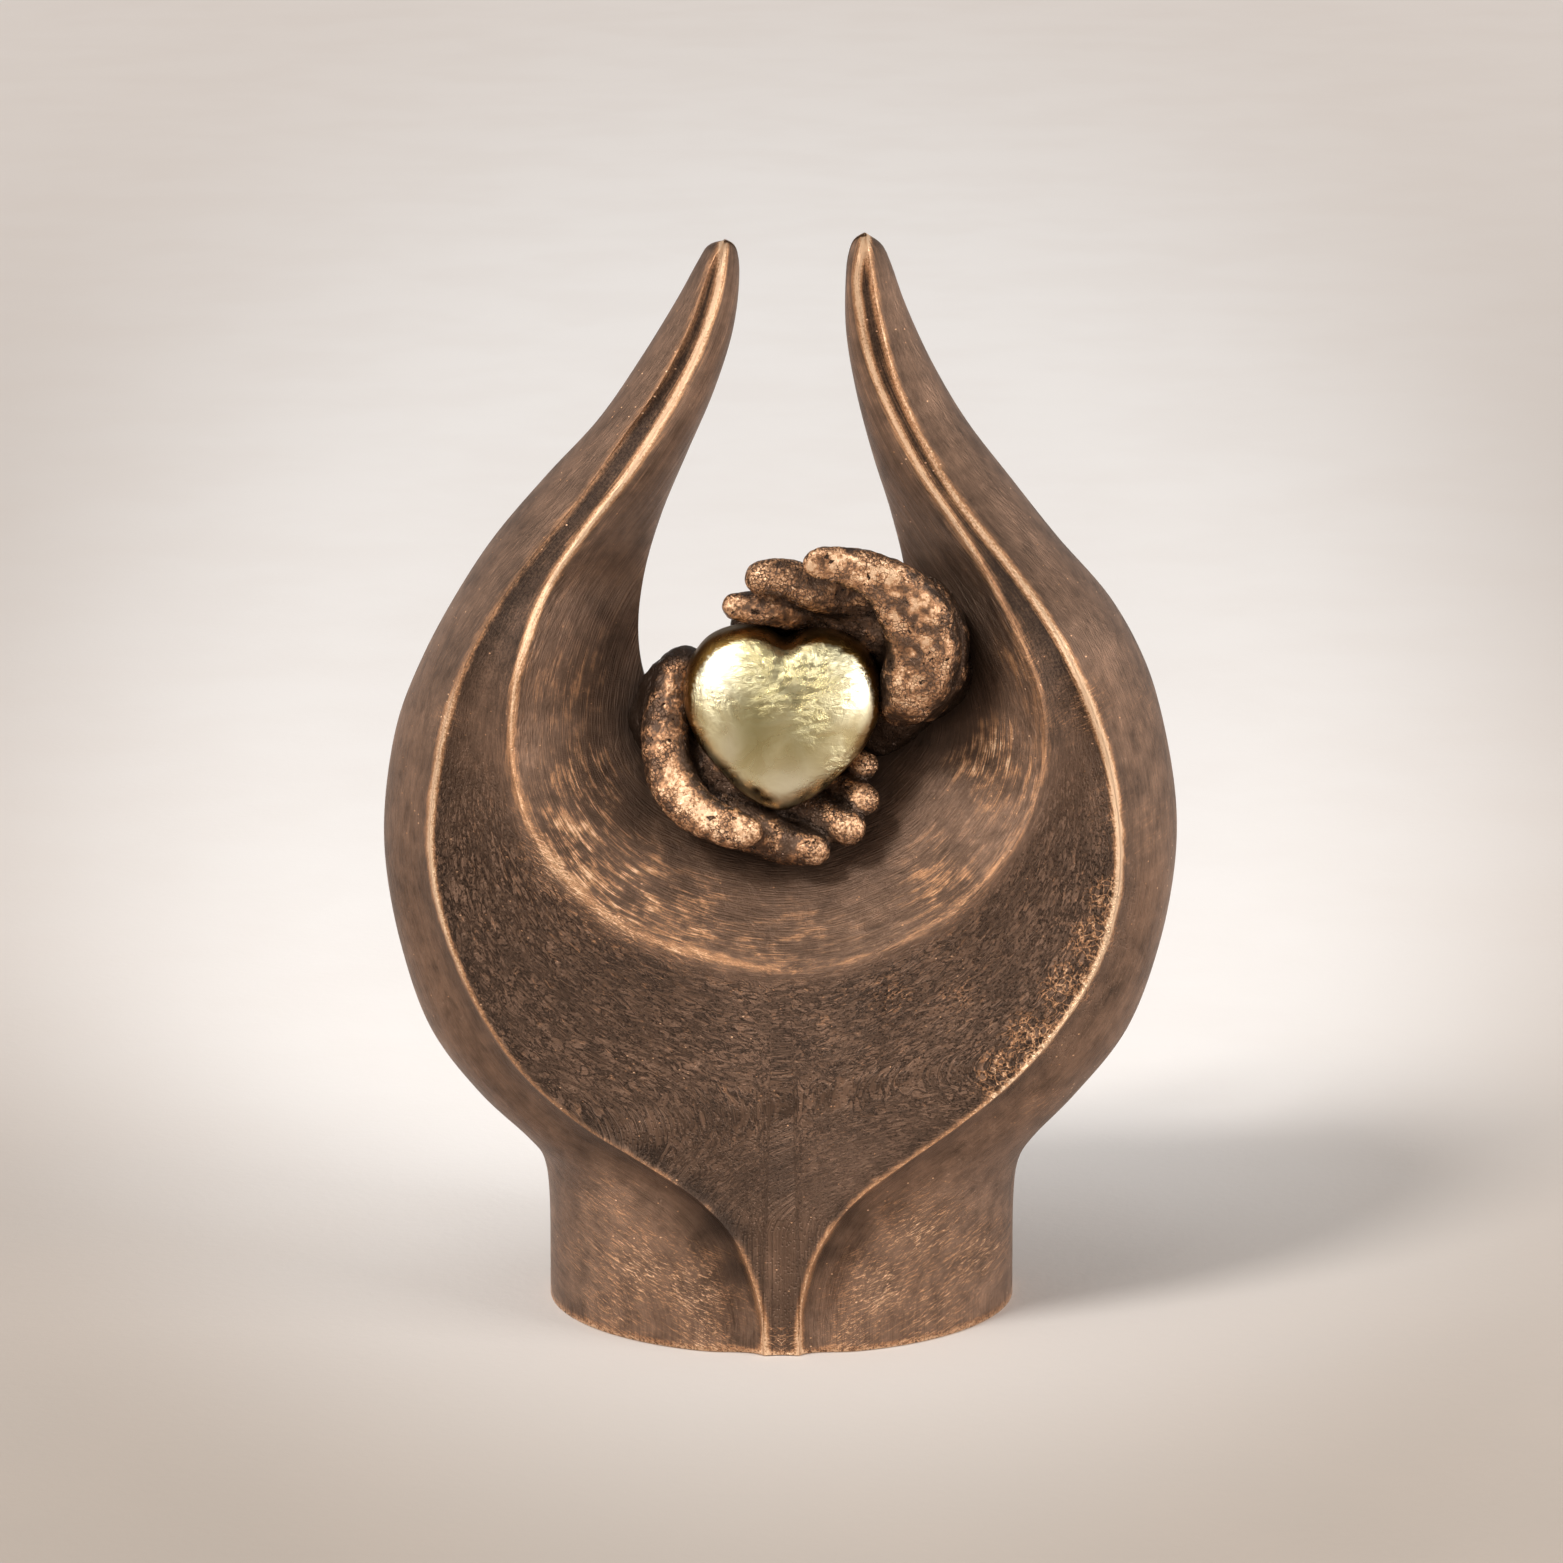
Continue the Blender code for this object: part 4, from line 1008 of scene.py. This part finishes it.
def heart_point(unit):
    """Moves points of a ball of radius 1 to the heart's surface."""
    side = smooth_line([(HEART_WIDTH / 2 * out, HEART_HEIGHT / 2 * up)
                        for out, up in HEART_OUTLINE])[::-1]
    bearings = np.arctan2(side[:, 0], -side[:, 1])
    reaches = np.hypot(side[:, 0], side[:, 1])
    flat = np.hypot(unit[:, 0], unit[:, 1])
    turn = np.arctan2(unit[:, 0], -unit[:, 1])
    reach = np.interp(np.abs(turn), bearings, reaches)
    reach = mix(HEART_WIDTH / 2 * 0.93, reach, flat ** 2.2) * flat ** 0.95
    puff = np.sign(unit[:, 2]) * np.abs(unit[:, 2]) ** 0.7
    x, y, z = np.sin(turn) * reach, -puff * HEART_THICKNESS / 2, -np.cos(turn) * reach
    c, s = math.cos(HEART_TURN), math.sin(HEART_TURN)
    return np.column_stack([c * x + s * z, y, c * z - s * x]) + HEART_CENTRE


bpy.ops.mesh.primitive_uv_sphere_add(segments=220, ring_count=130, radius=1.0)
heart = bpy.context.object
heart.name = "gilded_heart"
unit = read_rows(heart.data.vertices, "co")
place_points(heart.data, heart_point(unit))
around_rim = smoothstep(0.86, 0.985, np.hypot(unit[:, 0], unit[:, 1]))
set_attribute(heart.data, "glaze", np.where(unit[:, 2] > 0.0, around_rim, 1.0))
# Soft spots on the heart's front: right, up, width, height and strength, in millimetres. The spots
# that darken the middle are a painted dark reflection, and the pale spots on the lobes and low
# down are painted highlights.
HEART_SPOTS = {
    "torn": [(-7, 16, 5, 6, 1.0), (-3, 9, 5, 6, 0.7), (11, 13, 6, 7, 1.0), (7, 4, 5, 8, 0.7),
             (17, -11, 6, 6, 0.8), (-18, 8, 6, 5, 0.4), (2, 16, 4, 4, 0.8)],
    "hollow": [(-7, 1, 9, 12, 1.0), (4, -3, 8, 10, 0.7), (-8, 12, 5, 6, 0.5)],
    "painted_highlight": [(-18, 13, 6, 8, 1.0), (20, 12, 6, 9, 1.0), (3, -15, 9, 6, 0.8),
                 (-14, -6, 3, 8, 0.5)],
    "chip": [(-6, -18, 1.6, 1.2, 1.0), (-3, -20, 1.8, 1.0, 0.9)],
}
# The ball's radius stands for half of the heart.
SPOT_SCALE = 25.0
for name, spots in HEART_SPOTS.items():
    share = cover(unit * SPOT_SCALE, spots)
    set_attribute(heart.data, name, share * (unit[:, 2] > 0.0))
close_and_smooth(heart)
print("heart is", [round(value * 1000, 1) for value in heart.dimensions], "mm")

# %% [markdown]
# The casting has a brown patina over copper. A brushed grain runs along the lines of each wing,
# so its pattern is read along the line and across it. The copper shows on the raised edge and
# the lip, in rubbed patches, and as thin scratches. The leaf is wrinkled like leather.

# %% Pattern of the body
pattern = bpy.data.node_groups.new("rubbed_casting", "ShaderNodeTree")
place = object_place(pattern)
flow = joined(*attributes(pattern, "along", "across"))
leather, bowl, rubbed, pitted, strip, sole, shaded, shade_near_hands, in_front = attributes(
    pattern, "leather", "bowl", "rubbed", "pitted", "strip", "sole", "shaded", "shade_near_hands",
    "in_front")
off_edge, off_lip, edge_shine, lip_shine = attributes(
    pattern, "off_edge", "off_lip", "edge_shine", "lip_shine")

# Clouds and grain fill the place, and streaks run along the lines.
soft = place.noise(0.045)
medium = place.noise(0.16, 4.0, 0.65)
grain = place.noise(1.6, 3.0, 0.65)
long_streak = flow.stretched(0.085, 0.75, 1.0).noise(1.0, 6.0, 0.7, 0.8)
fine_streak = flow.stretched(0.13, 3.2, 1.0).noise(1.0, 3.0, 0.6)
wobble = flow.stretched(0.16, 0.0, 1.0).noise(1.0, 4.0)
sideways, _, height = place.axes()
outward = abs(sideways)
slant = joined(height * 0.45 + outward, outward * -0.45 + height)
scratch = slant.stretched(0.26, 1.5, 1.0).noise(1.0, 8.0, 0.74, 1.6)


def line_wear(away, width, softness):
    """Copper along a raised line, wider and narrower by turns and broken up by the grain."""
    share = away / (wobble * (width * 1.6) + width * 0.2)
    return 0.37 ** (share * share) * (grain * softness + (1.0 - softness * 0.5))


lines = line_wear(off_edge, 1.25, 1.9) * edge_shine + line_wear(off_lip, 1.25, 1.8) * lip_shine

# Inside the bowl a rub is streaky, and outside it is scratched.
in_bowl = rubbed * bowl
catch = medium * 0.35 + long_streak * 0.45 + fine_streak * 0.25
rub_mark = catch.ramp(0.45, 0.68) * (bowl * 0.08 + in_bowl * 1.2 + 0.17)
scratched = scratch.ramp(0.48, 0.63) * (rubbed - in_bowl)
lip_glow = 0.37 ** abs(off_lip / 3.6) * in_front
lip_rub = lip_glow * long_streak.ramp(0.35, 0.7, 0.0, 0.27)

# A net of fine lines covers the pitted patches, and a few flecks lie all over.
bend = place.noise(0.35, 2.0, 0.5, output="Color")
bent = bend.step("ShaderNodeVectorMath", {0: bend, 1: (5.0, 5.0, 5.0), 2: place},
                 operation="MULTIPLY_ADD")
net_line = bent.cells(0.42, "DISTANCE_TO_EDGE").ramp(0.02, 0.16, 1.0, 0.0)
net_line = net_line * pitted.ramp(0.15, 0.8)
fleck = place.stretched(1.0, 1.0, 1.6).cells(0.30).ramp(0.06, 0.13, 1.0, 0.0)
fleck = fleck * soft.ramp(0.44, 0.62, 0.0, 0.8)

# Leather has wrinkles with creases, lumps between them and open pores.
wrinkle = flow.stretched(0.15, 0.46, 1.0).noise(1.0, 4.0, 0.62, 0.9)
crease = abs(wrinkle - 0.5).ramp(0.0, 0.075, 1.0, 0.0)
crease = crease * (leather * medium.ramp(0.36, 0.60, 0.45, 1.0))
lump = flow.stretched(0.20, 0.42, 1.0).noise(1.0, 5.0, 0.62, 1.2)
pores = place.cells(0.95).ramp(0.12, 0.42, 1.0, 0.0) * (leather + pitted * 1.4)

copper = lines * in_front + rub_mark + scratched + lip_rub + net_line * 0.62 + fleck
copper += leather * lump.ramp(0.48, 0.75, 0.0, 0.36) + sole * grain.ramp(0.36, 0.56, 0.15, 0.9)
# Painted shade: near the hands and in the shaded spots the copper fades and the bronze turns dark.
shadow = shade_near_hands.or_more(shaded)
copper = ((copper - crease * 0.35) * shadow.ramp(0.1, 0.75, 1.0, 0.05)).limited()
groove = abs(off_edge).ramp(1.2, 7.0, 1.0, 0.0) * grain.ramp(0.3, 0.6, 0.15, 0.4)
dark = crease * 0.95 + pores * 0.45 + groove + strip * grain.ramp(0.35, 0.6, 0.95, 0.35)
tone = long_streak * 1.15 + fine_streak * 0.8 + soft * 1.1 + medium * 1.5 - 1.60
relief = crease * -0.60 + pores * -0.45 + fine_streak * 0.30 + lump * (leather * 0.9 + 0.35)
relief += net_line * 0.35 + scratch * rubbed * 0.5
finish_group(pattern, Copper=copper, Tone=tone.limited(), Dark=(dark + shadow).limited(),
             Height=relief)
print("pattern has", len(pattern.nodes), "nodes")

# %% [markdown]
# Both bronze materials mix the same five colours: dark patina, which also carries painted shade, a
# deep and a light brown, copper and the bright copper of the freshest rub.

# %% Bronze
DARK_PATINA_AND_SHADE = (0.022, 0.012, 0.007)
DEEP_BROWN = (0.058, 0.032, 0.019)
LIGHT_BROWN = (0.26, 0.152, 0.098)
COPPER = (0.60, 0.30, 0.145)
BRIGHT_COPPER = (0.97, 0.66, 0.42)
BRONZE_METALLIC = 0.62
BRONZE_RELIEF, BRONZE_RELIEF_DEPTH = 0.9, 1.4 * MM


def bronze_material(name, group, roughness_of):
    """Bronze over a pattern. Its roughness follows from how rubbed it is and from its dark share
    of patina and painted shade.
    """
    material, tree, shader = new_material(name)
    copper, tone, dark, height = use_group(tree, group)
    brown = tone.blend(DEEP_BROWN, LIGHT_BROWN)
    # The dark share holds patina in hollows and the painted shade.
    brown = (dark * 0.85).blend(brown, DARK_PATINA_AND_SHADE)
    shine = copper.ramp(0.55, 1.0).blend(COPPER, BRIGHT_COPPER)
    colour = copper.ramp(0.12, 0.75).blend(brown, shine)
    dress(shader, colour, roughness_of(copper, dark), BRONZE_METALLIC, height, BRONZE_RELIEF,
          BRONZE_RELIEF_DEPTH)
    return material


bronze = bronze_material("bronze_patina", pattern,
                         lambda copper, dark: copper.ramp(0.0, 0.8, 0.46, 0.34))
body.data.materials.append(bronze)
print("body's material", bronze.name)

# %% [markdown]
# The hands were rubbed only on their front faces and on sharp ridges. There the copper is crackled
# and pitted, and everything behind stays dark and a little glossy. Farther back inside the hands,
# shade is painted darker still and the copper fades.

# %% Bronze of the hands
skin_pattern = bpy.data.node_groups.new("rubbed_hands", "ShaderNodeTree")
place = object_place(skin_pattern)
front, plane, ridge, border, deep, hand_crease = attributes(
    skin_pattern, "front", "plane", "ridge", "border", "deep", "crease")
grain = place.noise(1.1, 4.0, 0.7)
clouds = place.noise(0.16)
cracks = place.cells(0.85, "DISTANCE_TO_EDGE").ramp(0.0, 0.10, 1.0, 0.0) * clouds.ramp(0.40, 0.62)
face = front * (plane * 0.75 + 0.30) * place.noise(0.24, 5.0, 0.6).ramp(0.40, 0.66, 0.16, 0.88)
edges = ridge.or_more(border * front)
pit = place.noise(0.36, 5.0, 0.62).ramp(0.63, 0.69)
copper = edges * grain.ramp(0.38, 0.60, 0.15, 0.75) + face - cracks * 0.7 - pit * 0.9
# Painted shade: the copper fades farther back inside the hands, and the dark share grows.
copper = (copper * deep.ramp(0.1, 0.8, 1.0, 0.1)).limited()
dark = (front * -0.70 + 0.90 + pit * 0.7 + hand_crease + deep * 0.55).limited()
height = cracks * -0.35 + pit * -0.5 + grain * 0.30 + clouds
finish_group(skin_pattern, Copper=copper, Tone=clouds, Dark=dark, Height=height)
hand_bronze = bronze_material("bronze_patina_of_hands", skin_pattern,
                              lambda copper, dark: dark.ramp(0.1, 0.9, 0.31, 0.22))
hands.data.materials.append(hand_bronze)
print("hands' material", hand_bronze.name)

# %% [markdown]
# The heart is covered with metal leaf. The leaf wrinkles and tears a little, most of all below the
# notch, and a brown glaze has been left around the side of the heart. A dark reflection is painted
# in the middle of the front, and highlights on the lobes.

# %% Gilding
gilding, tree, shader = new_material("gilding")
place = object_place(tree)
glaze, torn, hollow, painted_highlight, chip = attributes(
    tree, "glaze", "torn", "hollow", "painted_highlight", "chip")
fold = place.noise(0.10, 4.0, 0.6, 0.8)
crumple = place.stretched(0.30, 0.2, 0.62).noise(1.0, 5.0, 0.68, 0.9)
leaf = fold.ramp(0.35, 0.68).blend((0.74, 0.64, 0.34), (0.95, 0.88, 0.57))
# Painted reflection: the middle of the front is darkened to olive.
leaf = (hollow * 0.85).blend(leaf, (0.36, 0.31, 0.14))
# Painted highlight: pale gold on both lobes and low on the front.
leaf = (painted_highlight * 0.6).blend(leaf, (1.0, 0.96, 0.80))
leaf = chip.blend(leaf, (0.05, 0.03, 0.01))
leaf = (torn * crumple.ramp(0.50, 0.60) * 0.55).blend(leaf, (0.45, 0.38, 0.16))
ragged_glaze = glaze + crumple.ramp(0.3, 0.7, -0.16, 0.16)
leaf = ragged_glaze.ramp(0.32, 0.72).blend(leaf, (0.23, 0.13, 0.035))
wrinkles = fold * 0.45 + (torn * 1.1 + 0.03) * crumple
dress(shader, leaf, fold.ramp(0.3, 0.7, 0.24, 0.36), 1.0, wrinkles, 0.8, 1.2 * MM)
heart.data.materials.append(gilding)
print("gilding", gilding.name)

# %% [markdown]
# The pieces take the place of the measured ones.

# %% Place the pieces and finish
for piece, slot in ((body, "bronze_patina"), (hands, "bronze_patina"), (heart, "gilding")):
    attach(piece, "root")
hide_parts("sculpture_body")
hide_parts("sculpture_body")
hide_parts("heart")
